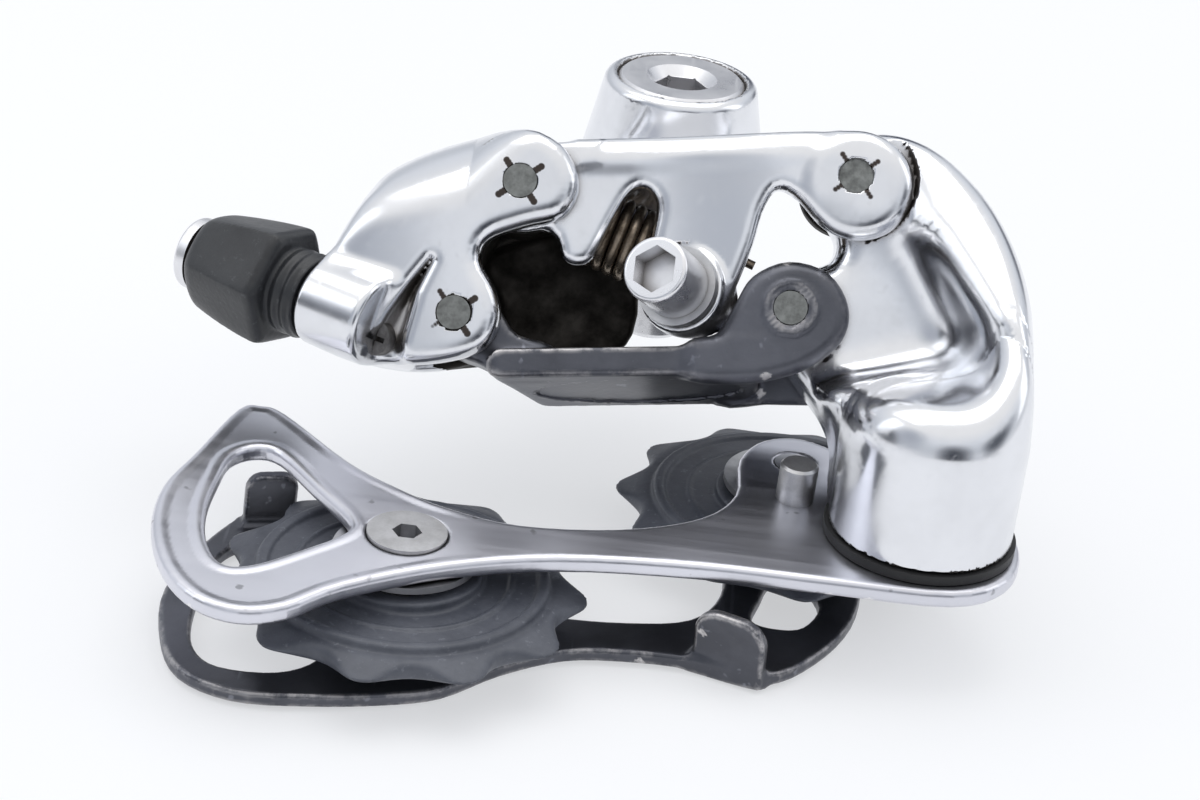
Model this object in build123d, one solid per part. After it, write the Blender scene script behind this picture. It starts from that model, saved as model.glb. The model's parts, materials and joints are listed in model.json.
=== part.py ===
from build123d import *
import os
from math import atan2, cos, degrees, hypot, pi, radians, sin

# Rear derailleur, spring relaxed against its high-gear stop.
# Frame: origin on the mounting-bolt axis at the hanger face, +Z outboard, +Y up on the
# bicycle, +X forward. Millimetres.

# ---------------------------------------------------------------- driving dimensions
RUN = 0.05             # radial clearance of a running fit
GAP = 0.3              # clearance between parts that pass each other
SIDE = 0.15            # axial clearance beside a pivot hub

# mounting bolt and upper boss
THREAD_R = 5.0         # M10 x 1 hanger thread
THREAD_L = 9.0
BOSS_R = 10.0
BOSS_TOP = 26.0
BOLT_SHANK_R = 4.5
BOLT_HEAD_R = 8.1
BOLT_HEAD_H = 3.0
BOLT_HEX = 6.0
STOP_PLATE_T = 2.4
B_CAVITY_R = 8.4       # torsion-spring chamber in the boss
B_CAVITY_TOP = 15.5
B_BUSH_T = 0.8
B_SPRING_WIRE = 1.7
B_SPRING_TURNS = 5
BOSS_BOTTOM = STOP_PLATE_T + GAP
HEAD_SEAT = BOSS_TOP - BOLT_HEAD_H
HEAD_POCKET_R = 9.2
RING_R = 4.3           # groove of the retaining ring
RING_OUTER = 6.4
RING_Z = 0.3
RING_T = 1.0
TAB_ANGLE = 150.0      # stop-plate tab, about +Z from forward
TAB_R = 12.4
TAB_W = 6.0
TAB_TOP = 7.4
B_SCREW_R = 12.6
B_SCREW_Z = 5.4
B_SCREW_L = 13.0
B_LUG = (4.5, 9.5)     # lug along the screw
ARM_END = (-25.0, -14.0)
ARM_R = 8.0
ARM_Z = (7.8, 13.8)

# parallelogram
SLANT = 30.0           # pin axes lean outboard from straight down
LINK_ANGLE = 7.8       # links above the forward direction at rest
LINK_L = 39.8          # pin to pin along a link
PIN_PITCH = 17.5       # pin to pin on a knuckle
PIN_PITCH_ANGLE = -109.6
A1 = (-17.9, 3.9)      # outer link's rear pin, in the pin-normal plane
PIN_R = 2.0
PIN_HEAD = 37.0        # pin ends measured along the pin direction
PIN_TAIL = 19.2
EAR_T = 3.6            # front ears
REAR_EAR_T = 3.3
HUB_R = 5.6            # outer-link hub and ears
INNER_HUB_R = 4.8      # inner-link rear hub
INNER_EAR_R = 5.6      # inner-link front ears
SHIFT_RANGE = 54.0

# lower knuckle and cage pivot
P_AXIS = (33.7, -48.3)
P_BODY_R = 10.85
P_BODY_BOTTOM = -7.8
P_BODY_TOP = 11.4
P_AXLE_R = 4.0
P_AXLE_TOP = 8.5
P_BUSH_T = 0.9
P_CAVITY_R = 8.8
P_CAVITY_TOP = 1.5
P_SPRING_WIRE = 1.7
P_SPRING_TURNS = 3.5

# cage
T_AXIS = (-25.2, -62.0)
G_AXIS = (19.2, -33.7)
PULLEY_Z = -16.0       # chain plane
CAGE_HALF = 4.5        # chain plane to either plate's inside face
OUTER_PLATE_T = 2.4
INNER_PLATE_T = 1.7
STOP_PIN_R = 2.3
STOP_PIN_H = 4.6
STOP_PIN_AT = (19.1, -42.7)
LUG_H = 3.4
SEAL_T = 1.1
BOLT_CAP_R = 4.6
BOLT_CAP_T = 1.6
BOLT_CAP_HEX = 3.0
FLAP_H = 8.6
REAR_FLAP_H = 9.0

# pulleys, 11 teeth for 12.7 mm pitch chain
TEETH = 11
CHAIN_PITCH = 12.7
ROLLER_R = 3.9
TIP_R = 21.8
TOOTH_T = 2.3
RIM_T = 4.2
PULLEY_BORE_R = 5.2
CAP_R = 8.4
CAP_T = 0.8
AXLE_BOLT_R = 2.5      # M5 pulley bolts
GUIDE_FLOAT = 0.6
BALL_R = 1.0
BALLS = 9
BALL_ORBIT = 5.0
RACE_OUTER_R = 7.0
HUB_FACE_R = 9.2
HUB_HALF = CAGE_HALF - CAP_T - GUIDE_FLOAT - 0.2
RIM_R = 16.8
SLEEVE_BORE_R = 3.0
GUIDE_PHASE = -52.0
TENSION_PHASE = 2.0

# barrel adjuster and screws
ADJ_POINT = (-40.3, -34.0, 5.0)   # where its axis leaves the bracket
ADJ_ANGLE = 151.0      # about +Z from forward
ADJ_THREAD_R = 2.5     # M5 barrel
ADJ_BOSS_R = 5.2
KNOB_R = 7.6
KNOB_L = 14.6
HOUSING_R = 2.6        # seat for the cable housing
HOUSING_DEPTH = 6.0
CABLE_R = 0.9
ADJ_THREAD_L = 5.5
ADJ_BOSS_L = 9.0
NECK_L = 2.6
SLEEVE_R = 4.4
KNOB_END = NECK_L + KNOB_L
BARREL_R = 3.2
BARREL_END_R = 4.5
BARREL_END_T = 1.6
FLUTE_R = 5.0
FLUTE_AT = 11.6
SCREW_R = 1.5          # M3 limit screws
SCREW_L = 7.4
SCREW_HEAD_R = 2.1
SCREW_HEAD_H = 1.6
HIGH_TIP = (-29.6, -16.2, 28.6)    # pin-plane x, y and level of its tip
HIGH_DIR = (-0.44, -0.05, 0.896)
LOW_TIP = (-29.2, -14.6, 25.0)
LOW_DIR = (-1, 0, 0)
EAR_R = 6.2            # bracket ears round the rear pins
BACK_WALL = 2.6        # web behind the links
BACK_REACH = 13.0      # how far it runs past the rear pins

CLAMP_R = 5.2          # cable clamp pad on the outer link
CABLE_BOLT_R = 4.0
CABLE_BOLT_H = 7.4
CABLE_BOLT_TILT = 25.0
CABLE_HEX = 5.0
CLAMP_AT = (19.3, -13.1)      # from the rear pin, along and across the link
CLAMP_LEAN = 153.0     # direction the bolt leans, from the link's own direction
CLAMP_BOLT_R = 2.5
PAD_H = 1.2
CABLE_GAP = 0.3
WASHER_T = 1.0
WEB_LOW = 2.4          # top web of the outer link
WEB_HIGH = 5.0

# inner link pan and return spring
INNER_START = 2.6
PAN_TOP = -4.1
PAN_LOW = -7.4
PAN_T = 3.2
SKIRT_LOW = -10.4
SPRING_R = 4.2
SPRING_WIRE = 1.3
SPRING_COIL_GAP = 0.15   # between neighbouring turns
SPRING_LEVEL = 25.6

# ---------------------------------------------------------------- worked-out places
S, C = sin(radians(SLANT)), cos(radians(SLANT))
PIN_DIR = (0, -C, S)

FRONT_EAR = (PIN_HEAD - EAR_T, PIN_HEAD)
REAR_EAR = (PIN_TAIL, PIN_TAIL + REAR_EAR_T)
HUB = (REAR_EAR[1] + SIDE, FRONT_EAR[0] - SIDE)
WALL = (HUB[1] - 2.3, HUB[1])     # outer link's front wall
PLATE_LOW = PULLEY_Z + CAGE_HALF
PLATE_TOP = PLATE_LOW + OUTER_PLATE_T


def polar(point, length, angle):
    return (point[0] + length * cos(radians(angle)), point[1] + length * sin(radians(angle)))


A2 = polar(A1, PIN_PITCH, PIN_PITCH_ANGLE)
B1 = polar(A1, LINK_L, LINK_ANGLE)
B2 = polar(A2, LINK_L, LINK_ANGLE)


def from_link(points, pin):
    """Points given along and across a link from its rear pin, as pin-plane points."""
    return [polar(pin, hypot(*p), degrees(atan2(p[1], p[0])) + LINK_ANGLE) for p in points]


def pin_plane(level):
    """The plane square to the pins, at a distance along them from the origin."""
    return Plane(origin=(0, -C * level, S * level), x_dir=(1, 0, 0), z_dir=PIN_DIR)


def in_space(point, level):
    x, u = point
    return Vector(x, S * u - C * level, C * u + S * level)


# ---------------------------------------------------------------- small builders
def rod(radius, z0, z1, at=(0, 0)):
    return Pos(at[0], at[1], z0) * Cylinder(radius, z1 - z0, align=(Align.CENTER, Align.CENTER, Align.MIN))


def ring(outer, inner, z0, z1, at=(0, 0)):
    return rod(outer, z0, z1, at) - rod(inner, z0 - 1, z1 + 1, at)


def slab(face, z0, z1):
    return extrude(Pos(0, 0, z0) * face, z1 - z0)


def pin_slab(face, span):
    """A flat shape drawn square to the pins, thickened between two levels along them."""
    return extrude(pin_plane(span[0]) * face, span[1] - span[0])


def pin_rod(point, radius, span):
    return pin_slab(Pos(point[0], point[1]) * Circle(radius), span)


def blob(points, *rounding):
    """A closed outline with each corner rounded."""
    shape = make_face(Polyline(*points, close=True))
    for radius in rounding:
        shape = fillet(shape.vertices(), radius)
    return shape


def smooth(points):
    """A closed outline through its points without corners."""
    return make_face(Spline(*points, periodic=True))


def hull_of(*circles):
    """The outline that wraps round circles given as (x, y, radius)."""
    shape = Sketch()
    for (x0, y0, r0), (x1, y1, r1) in zip(circles, circles[1:]):
        span = hypot(x1 - x0, y1 - y0)
        lean = degrees(atan2(y1 - y0, x1 - x0))
        tilt = degrees(atan2(r0 - r1, (span ** 2 - (r0 - r1) ** 2) ** 0.5))
        side = [polar((x0, y0), r0, lean + 90 - tilt), polar((x1, y1), r1, lean + 90 - tilt)]
        other = [polar((x1, y1), r1, lean - 90 + tilt), polar((x0, y0), r0, lean - 90 + tilt)]
        shape += make_face(Polyline(*side, *other, close=True))
        shape += Pos(x0, y0) * Circle(r0) + Pos(x1, y1) * Circle(r1)
    return shape


def hexagon(across_flats):
    return RegularPolygon(across_flats / 2, 6, major_radius=False)


def coil(radius, wire, z0, z1, turns):
    """A closed-end compression or torsion coil between two heights."""
    pitch = (z1 - z0 - wire) / turns
    path = Pos(0, 0, z0 + wire / 2) * Helix(pitch, z1 - z0 - wire, radius)
    start = Plane(origin=path @ 0, z_dir=path % 0)
    return sweep(start * Circle(wire / 2), path)


# ---------------------------------------------------------------- hanger mounting
def mounting_bolt():
    head_z = BOSS_TOP - BOLT_HEAD_H
    thread = rod(THREAD_R, -THREAD_L, STOP_PLATE_T)
    thread = chamfer(thread.edges().sort_by(Axis.Z)[0], 0.8)
    body = thread + rod(BOLT_SHANK_R, 0, head_z + 1) + rod(BOLT_HEAD_R, head_z, BOSS_TOP)
    body = chamfer(body.edges().sort_by(Axis.Z)[-1], 0.5)
    body -= ring(THREAD_R + 1, RING_R, RING_Z, RING_Z + RING_T)
    body -= slab(hexagon(BOLT_HEX), BOSS_TOP - BOLT_HEX, BOSS_TOP + 1)
    body -= Pos(0, 0, BOSS_TOP - 0.6) * Cone(BOLT_HEX * 0.55, BOLT_HEX * 0.75, 1.2)
    return body


def stop_plate():
    plate = rod(BOSS_R, 0, STOP_PLATE_T)
    arm = Rot(0, 0, TAB_ANGLE) * Pos(TAB_R / 2 + 1, 0, STOP_PLATE_T / 2) * Box(TAB_R, TAB_W, STOP_PLATE_T)
    tab = Rot(0, 0, TAB_ANGLE) * Pos(TAB_R, 0, TAB_TOP / 2) * Box(STOP_PLATE_T, TAB_W, TAB_TOP)
    plate = plate + arm + tab
    recess = rod(RING_OUTER + GAP, -1, RING_Z + RING_T + GAP)
    return plate - recess - rod(THREAD_R + RUN, -1, STOP_PLATE_T + 1)


def retaining_ring():
    body = ring(RING_OUTER, RING_R + RUN, RING_Z + RUN, RING_Z + RING_T - RUN)
    return body - Pos(RING_OUTER, 0, RING_Z) * Box(RING_OUTER, RING_R, 3 * RING_T)


def b_bushing():
    return ring(BOLT_SHANK_R + RUN + B_BUSH_T, BOLT_SHANK_R + RUN, B_CAVITY_TOP, HEAD_SEAT)


def b_spring():
    radius = (BOLT_SHANK_R + B_CAVITY_R) / 2
    return coil(radius, B_SPRING_WIRE, BOSS_BOTTOM + GAP, B_CAVITY_TOP - GAP, B_SPRING_TURNS)


def b_seal_ring():
    return ring(HEAD_POCKET_R, BOLT_HEAD_R + RUN, HEAD_SEAT, BOSS_TOP - 0.5)


# ---------------------------------------------------------------- upper knuckle
def bracket_outline():
    """The upper knuckle's face, seen along the pins."""
    back = [(-31.5, 4.6), (-35.0, 0.8), (-38.4, -4.4), (-41.6, -11.4), (-40.6, -15.6), (-36.5, -18.4)]
    ears = [(A2[0] - 4, A2[1] - EAR_R), A2, A1, (A1[0] - 3, A1[1] + EAR_R)]
    face = make_face(Polyline(*back, *ears, close=True))
    face += Pos(*A1) * Circle(EAR_R) + Pos(*A2) * Circle(EAR_R - 0.6)
    return fillet(face.vertices().sort_by(Axis.X)[:6], 2.0)


def bracket_pocket():
    """Room for the link hubs and the links that swing from them."""
    outer = Pos(*A1) * Circle(HUB_R + GAP)
    inner = Pos(*A2) * Circle(INNER_HUB_R + GAP)
    open_side = [A2, polar(A2, 30, -125), polar(A2, 60, -50), polar(A1, 60, 45), polar(A1, 20, 100), A1]
    return outer + inner + make_face(Polyline(*open_side, close=True))


def back_wall(levels):
    """Web behind the links, between the rear pins and a little forward of them."""
    reach = A1[0] + BACK_REACH
    edge = [(A1[0] - EAR_R, A1[1] - 1), (A1[0], A1[1] - 2), (reach - 3, A1[1] - 3), (reach, A1[1] - 6),
            (reach, A2[1] + 1), (reach - 3, A2[1] - 2), (A2[0], A2[1] - EAR_R + 0.6), (A2[0] - 8, A2[1])]
    return pin_slab(make_face(Polyline(*edge, close=True)), levels)


def adjuster_plane():
    lean = radians(ADJ_ANGLE)
    return Plane(origin=ADJ_POINT, x_dir=(0, 0, 1), z_dir=(cos(lean), sin(lean), 0))


def screw_plane(tip, direction):
    """A screw's own plane: its origin at the tip, its Z towards the head."""
    x, u, level = direction
    z_dir = Vector(x, S * u - C * level, C * u + S * level)
    return Plane(origin=in_space(tip[:2], tip[2]), z_dir=z_dir)


def bracket_body():
    boss = rod(BOSS_R, BOSS_BOTTOM, BOSS_TOP)
    boss = fillet(boss.edges().sort_by(Axis.Z)[-1], 1.3)
    arm = slab(hull_of((0, 0, BOSS_R - 1), (*ARM_END, ARM_R)), ARM_Z[0], ARM_Z[1])
    arm -= pin_slab(Pos(A1[0] + 47, 0) * Rectangle(110, 120), (PIN_TAIL - GAP, 80))
    back = (PIN_TAIL - GAP - BACK_WALL, PIN_TAIL - GAP)
    body = pin_slab(bracket_outline(), (back[1] - 1, PIN_HEAD)) + back_wall(back)
    body -= pin_slab(bracket_pocket(), (REAR_EAR[1], FRONT_EAR[0]))
    body += arm + boss
    adjuster = adjuster_plane()
    body -= adjuster * rod(KNOB_R + 4, 0, KNOB_L)
    body += adjuster * rod(ADJ_BOSS_R, -ADJ_BOSS_L, 0)
    body += b_lug()
    # bolt, spring chamber and head pocket
    body -= rod(BOLT_SHANK_R + RUN + B_BUSH_T, 0, BOSS_TOP)
    body -= rod(B_CAVITY_R, 0, B_CAVITY_TOP)
    body -= rod(HEAD_POCKET_R, HEAD_SEAT, BOSS_TOP + 1)
    # pins, screws and the adjuster's thread
    for pin in (A1, A2):
        body -= pin_rod(pin, PIN_R, (PIN_TAIL - 2, PIN_HEAD + 1))
    body -= adjuster * rod(ADJ_THREAD_R, -ADJ_THREAD_L, 1)
    for tip, direction in ((HIGH_TIP, HIGH_DIR), (LOW_TIP, LOW_DIR)):
        body -= screw_plane(tip, direction) * (
            rod(SCREW_R, -2, SCREW_L) + rod(SCREW_HEAD_R + GAP, SCREW_L - SCREW_HEAD_H, 40))
    body -= b_screw_plane() * rod(SCREW_R, -1, B_SCREW_L)
    return body


def b_screw_plane():
    """The tension screw runs round the boss; its tip stands on the stop plate's tab."""
    tip = Rot(0, 0, TAB_ANGLE) * Pos(B_SCREW_R, -TAB_W / 2 - RUN, B_SCREW_Z)
    where = Vector(*tip.position)
    away = radians(TAB_ANGLE - 90)
    return Plane(origin=where, z_dir=(cos(away), sin(away), 0))


def b_lug():
    """The lug that carries the tension screw."""
    lug = b_screw_plane() * rod(SCREW_R + 1.6, B_LUG[0], B_LUG[1])
    high = 2 * (B_SCREW_Z - BOSS_BOTTOM)
    middle = (B_LUG[0] + B_LUG[1]) / 2
    web = Box(B_SCREW_R * 0.6, B_LUG[1] - B_LUG[0], high)
    return lug + Rot(0, 0, TAB_ANGLE) * Pos(B_SCREW_R * 0.7, -TAB_W / 2 - middle, B_SCREW_Z) * web


def link_pin(point, tail=PIN_TAIL):
    """A rivet pin with small end chamfers."""
    return pin_rod(point, PIN_R, (tail, PIN_HEAD))


def screw(length, head_r, head_h, slot):
    """A screw along its own Z, tip at the origin, with a cross slot in the head."""
    body = rod(SCREW_R - RUN, 0, length) + rod(head_r, length - head_h, length)
    for turn in (0, 90):
        body -= Rot(0, 0, turn) * Pos(0, 0, length) * Box(2 * head_r * 0.7, slot, head_h)
    return body


def limit_screw(tip, direction):
    return screw_plane(tip, direction) * screw(SCREW_L, SCREW_HEAD_R, SCREW_HEAD_H, 0.6)


def b_tension_screw():
    return b_screw_plane() * screw(B_SCREW_L, SCREW_HEAD_R, SCREW_HEAD_H, 0.6)


# ---------------------------------------------------------------- barrel adjuster
def adjuster_barrel():
    body = rod(ADJ_THREAD_R - RUN, -ADJ_THREAD_L + GAP, NECK_L)
    body += rod(BARREL_R, NECK_L, KNOB_END)
    body += rod(BARREL_END_R, KNOB_END, KNOB_END + BARREL_END_T)
    body = fillet(body.edges().sort_by(Axis.Z)[-1], 0.5)
    body -= rod(HOUSING_R, KNOB_END + BARREL_END_T - HOUSING_DEPTH, KNOB_END + 5)
    body -= rod(CABLE_R, -20, 40)
    return adjuster_plane() * body


def adjuster_knob():
    start = NECK_L
    profile = [(BARREL_R, start), (KNOB_R - 1.2, start), (KNOB_R, start + 1.2), (KNOB_R - 0.3, start + 5),
               (BARREL_END_R + 0.9, KNOB_END - 1.5), (BARREL_END_R, KNOB_END), (BARREL_R, KNOB_END)]
    body = revolve(Plane.XZ * make_face(Polyline(*profile, close=True)), Axis.Z)
    for k in range(6):
        flute = Pos(FLUTE_AT, 0, start - 1) * Rot(0, -8, 0) * Cylinder(
            FLUTE_R, 3 * KNOB_L, align=(Align.CENTER, Align.CENTER, Align.MIN))
        body -= Rot(0, 0, 60 * k) * flute
    return adjuster_plane() * body


def adjuster_spring_sleeve():
    return adjuster_plane() * ring(SLEEVE_R, ADJ_THREAD_R + GAP, GAP, NECK_L - GAP)


# ---------------------------------------------------------------- outer link
def clamp_plane():
    """On the link's front wall, square to the tilted cable bolt."""
    base = from_link([CLAMP_AT], A1)[0]
    lean = radians(CABLE_BOLT_TILT)
    side = radians(CLAMP_LEAN + LINK_ANGLE)
    x, u, level = sin(lean) * cos(side), sin(lean) * sin(side), cos(lean)
    z_dir = Vector(x, S * u - C * level, C * u + S * level)
    return Plane(origin=in_space(base, WALL[1]), z_dir=z_dir)


def outer_wall():
    """Front wall with its tongue, cable slot and clamp tab, square to the pins."""
    edge = [(3, 4.9), (LINK_L - 6.5, 5.0), (LINK_L - 6.5, -1.5), (30.5, -1.3), (28.9, -2.9), (27.6, -7.5),
            (25.2, -13.4), CLAMP_AT, (14.2, -12.0), (15.9, -3.8), (16.2, -1.9), (15.2, -0.8), (13.9, -0.9),
            (12.5, -2.2), (10.6, -5.5), (8.4, -9.2), (6.6, -9.8), (4.9, -8.9), (3.6, -6.0)]
    face = make_face(Polyline(*from_link(edge + [(0, 0)], A1), close=True))
    clamp = from_link([CLAMP_AT], A1)[0]
    return face + Pos(*clamp) * Circle(CLAMP_R) + Pos(*A1) * Circle(HUB_R)


def outer_link():
    hub = pin_rod(A1, HUB_R, HUB)
    wall = pin_slab(outer_wall(), WALL)
    top = [(EAR_R + 1.0, WEB_LOW), (EAR_R + 1.0, WEB_HIGH), (LINK_L - 2, WEB_HIGH), (LINK_L - 2, WEB_LOW)]
    web = pin_slab(make_face(Polyline(*from_link(top, A1), close=True)), (PIN_TAIL, PIN_HEAD))
    nose = [(0, 4.9), (EAR_R + 3, WEB_HIGH), (EAR_R + 3, WEB_LOW), (2, 1)]
    web += pin_slab(make_face(Polyline(*from_link(nose, A1), close=True)), HUB)
    rise = [(LINK_L - 16, -1), (LINK_L - 16, WEB_HIGH), (LINK_L, WEB_HIGH), (LINK_L, -3.5),
            (LINK_L - 8, -1.8)]
    front = pin_slab(make_face(Polyline(*from_link(rise, A1), close=True)), (WALL[0], PIN_HEAD))
    ears = pin_rod(B1, HUB_R, FRONT_EAR) + pin_rod(B1, HUB_R, REAR_EAR)
    pad = clamp_plane() * rod(CLAMP_R, -4, PAD_H)
    pad &= pin_slab(Rectangle(200, 200), (WALL[0], 60))
    body = hub + wall + web + front + ears + pad
    # the lower knuckle's hub turns between the ears
    body -= pin_rod(B1, HUB_R + GAP, (REAR_EAR[1], FRONT_EAR[0]))
    body -= pin_rod(A1, EAR_R + GAP, FRONT_EAR) + pin_rod(A1, EAR_R + GAP, (PIN_TAIL - 1, REAR_EAR[1]))
    body -= pin_rod(A1, PIN_R + RUN, (PIN_TAIL, PIN_HEAD))
    body -= pin_rod(B1, PIN_R, (PIN_TAIL - 1, PIN_HEAD + 1))
    body -= clamp_plane() * rod(CLAMP_R + GAP, PAD_H, PAD_H + 12)
    return body - clamp_plane() * rod(CLAMP_BOLT_R, -6, PAD_H + 1)


def cable_clamp_washer():
    seat = PAD_H + CABLE_GAP
    return clamp_plane() * ring(CLAMP_R - 0.3, CLAMP_BOLT_R + RUN, seat, seat + WASHER_T)


def cable_fixing_bolt():
    seat = PAD_H + CABLE_GAP + WASHER_T
    body = rod(CLAMP_BOLT_R - RUN, -1.2, seat) + rod(CABLE_BOLT_R, seat, seat + CABLE_BOLT_H)
    body = fillet(body.edges().sort_by(Axis.Z)[-1], 0.5)
    return clamp_plane() * (body - slab(hexagon(CABLE_HEX), seat + CABLE_BOLT_H - 3, seat + CABLE_BOLT_H + 1))


# ---------------------------------------------------------------- inner link
def inner_link():
    neck = [(0, -INNER_HUB_R), (2.5, 3.9), (5.4, 0.5), (7.4, -3.0), (11.0, PAN_TOP), (11.0, PAN_LOW),
            (6.0, PAN_LOW + 0.3), (3.5, -5.6)]
    body = pin_rod(A2, INNER_HUB_R, HUB)
    body += pin_slab(make_face(Polyline(*from_link(neck, A2), close=True)), HUB)
    pan = inner_pan()
    for levels in ((HUB[1] - SIDE, PIN_HEAD + 1), (PIN_TAIL - 1, HUB[0] + SIDE)):
        pan -= pin_rod(A2, EAR_R + GAP, levels)
    body += pan
    shoulder = [(LINK_L - 8, PAN_TOP - 1), (LINK_L - 5.0, 1.5), (LINK_L, 0), (LINK_L + 2, PAN_LOW + 1.6),
                (LINK_L - 7, PAN_LOW + 0.6)]
    side = make_face(Polyline(*from_link(shoulder, A2), close=True))
    tail = [(LINK_L - 6, PAN_TOP), (LINK_L, 2), (LINK_L + 5.6, -8.2), (LINK_L + 5.2, -10.2),
            (LINK_L - 7, SKIRT_LOW)]
    rear = make_face(Polyline(*from_link(tail, A2), close=True))
    body += pin_rod(B2, INNER_EAR_R, FRONT_EAR) + pin_slab(side, FRONT_EAR)
    body += pin_rod(B2, INNER_EAR_R, REAR_EAR) + pin_slab(rear, REAR_EAR)
    body -= pin_rod(A2, PIN_R + RUN, (PIN_TAIL, PIN_HEAD))
    return body - pin_rod(B2, PIN_R, (PIN_TAIL - 1, PIN_HEAD + 1))


def inner_pan():
    """The long pan under the parallelogram, its wall leaning outward to the rear."""
    origin = in_space(from_link([(INNER_START, 0)], A2)[0], 0)
    lean = radians(LINK_ANGLE)
    across = Vector(-sin(lean), S * cos(lean), C * cos(lean))
    plane = Plane(origin=origin, x_dir=across, z_dir=Vector(cos(lean), S * sin(lean), C * sin(lean)))
    # in this plane X is across the link and Y runs along the pins
    sign = 1 if plane.y_dir.dot(Vector(*PIN_DIR)) > 0 else -1
    corners = [(PAN_TOP, PIN_HEAD - 0.4), (PAN_LOW, PIN_HEAD - 0.4), (SKIRT_LOW, PIN_TAIL),
               (SKIRT_LOW + PAN_T, PIN_TAIL)]
    face = make_face(Polyline(*[(v, sign * n) for v, n in corners], close=True))
    pan = extrude(plane * face, LINK_L - INNER_START - INNER_EAR_R + 2.4)
    high, low = (PAN_LOW - 1.4, sign * (PIN_HEAD - 7)), (SKIRT_LOW + 0.5, sign * (PIN_TAIL + 3))
    groove = Plane(origin=plane.origin + plane.z_dir * 10, x_dir=plane.x_dir, z_dir=plane.z_dir)
    cut = make_face(Polyline(high, low, (low[0] - 2, low[1]), (high[0] - 2, high[1]), close=True))
    return pan - extrude(groove * cut, 16)


# ---------------------------------------------------------------- return spring
def return_spring():
    """Extension coil on the parallelogram's long diagonal."""
    start = in_space(A1, SPRING_LEVEL)
    end = in_space(B2, SPRING_LEVEL)
    span = (end - start).length
    plane = Plane(origin=start, z_dir=end - start)
    low, high = HUB_R + 2.2, span - HUB_R - 1.6
    turns = int((high - low - SPRING_WIRE) / (SPRING_WIRE + SPRING_COIL_GAP))
    body = coil(SPRING_R, SPRING_WIRE, low, high, turns)
    thin = SPRING_WIRE / 2 - 0.1
    for z0, z1 in ((HUB_R + GAP, low + SPRING_WIRE), (high - SPRING_WIRE, span - HUB_R - GAP)):
        body += rod(thin, z0, z1, (SPRING_R, 0))
    return plane * body


# ---------------------------------------------------------------- lower knuckle
def knuckle_profile(points):
    """A side view drawn as (Y, Z), run through the whole width."""
    return extrude(Plane.YZ.offset(-10) * blob(points), 80)


def p_knuckle():
    px, py = P_AXIS
    right = px + P_BODY_R
    face = [(B1[0], B1[1] + HUB_R), (29.6, 14.4), (34.6, 11.2), (38.8, 6.2), (42.4, -0.6),
            (right - 0.2, -7.4), (right, -12), (right, -36), (px - P_BODY_R, -36), (px - P_BODY_R, -17.0),
            (18.4, -14.4), (B2[0], B2[1] - 4.6), B2, (B2[0] + 5.0, B2[1] + 5.4),
            (B1[0] - 0.9, B1[1] - 5.4), B1]
    outline = make_face(Polyline(*face, close=True))
    outline += Pos(*B1) * Circle(HUB_R) + Pos(*B2) * Circle(INNER_HUB_R + 0.4)
    back = HUB[0]
    top = (S * 20 - C * back, C * 20 + S * back)
    low = (S * -18 - C * back, C * -18 + S * back)
    front = py - P_BODY_R
    slab_front_top = (S * 20 - C * HUB[1], C * 20 + S * HUB[1])
    slab_front_low = (S * -8 - C * HUB[1], C * -8 + S * HUB[1])
    barrel = [top, low, (low[0] - 4, P_BODY_BOTTOM), (front, P_BODY_BOTTOM)]
    plain = [*barrel, (front, P_BODY_TOP - 4), (front + 2.6, P_BODY_TOP - 0.6), (py - 2, P_BODY_TOP),
             (py + 6, P_BODY_TOP - 1), slab_front_low, slab_front_top]
    full = [*barrel, (front, P_BODY_TOP - 3), (front + 2, P_BODY_TOP + 2), (front + 6, P_BODY_TOP + 5.8),
            (py + 7, P_BODY_TOP + 11.4), (slab_front_top[0] - 8, slab_front_top[1] - 6), slab_front_top]
    solid = pin_slab(outline, (back, 90))
    body = solid & knuckle_profile(plain)
    ridge = [(27.8, 5.3), (31.0, -1.0), (33.4, -3.6), (37.0, -8.0), (40.2, -13.0), (right - 2.4, -19),
             (right - 2.4, -36), (right + 2, -36), (right + 2, 30), (27, 30)]
    shoulder = pin_slab(make_face(Polyline(*ridge, close=True)), (back, 90))
    body += solid & knuckle_profile(full) & shoulder
    # seen from outboard the body closes round the pivot axis
    plan = Pos(px - 15 + P_BODY_R / 2, py + 30) * Rectangle(P_BODY_R + 30, 60)
    plan += Pos(px, py) * Circle(P_BODY_R)
    body &= slab(plan, P_BODY_BOTTOM, 60)
    body += rod(P_BODY_R, P_BODY_BOTTOM, P_BODY_TOP - 2, P_AXIS) + stop_lug()
    for level in (REAR_EAR, FRONT_EAR):
        wide = (level[0] - 30, level[1]) if level is REAR_EAR else (level[0], level[1] + 30)
        body -= pin_rod(B1, HUB_R + 0.6, wide) + pin_rod(B2, INNER_EAR_R + 0.6, wide)
    body -= rod(P_CAVITY_R, P_BODY_BOTTOM - 1, P_CAVITY_TOP, P_AXIS)
    body -= rod(P_AXLE_R + RUN + P_BUSH_T, 0, P_AXLE_TOP + 0.5, P_AXIS)
    for pin in (B1, B2):
        body -= pin_rod(pin, PIN_R + RUN, (PIN_TAIL, PIN_HEAD))
    return body


def stop_lug():
    """The stop pin rests against this lug when the cage is sprung back."""
    px, py = P_AXIS
    reach = hypot(STOP_PIN_AT[0] - px, STOP_PIN_AT[1] - py)
    bearing = degrees(atan2(STOP_PIN_AT[1] - py, STOP_PIN_AT[0] - px))
    width = 3.0
    lug = Pos(reach / 2, -STOP_PIN_R - RUN - width / 2, 0) * Box(reach + 3, width, LUG_H)
    lug -= Cylinder(P_CAVITY_R + 0.5, 3 * LUG_H)
    return Pos(px, py, P_BODY_BOTTOM + LUG_H / 2) * Rot(0, 0, bearing) * lug


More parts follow.
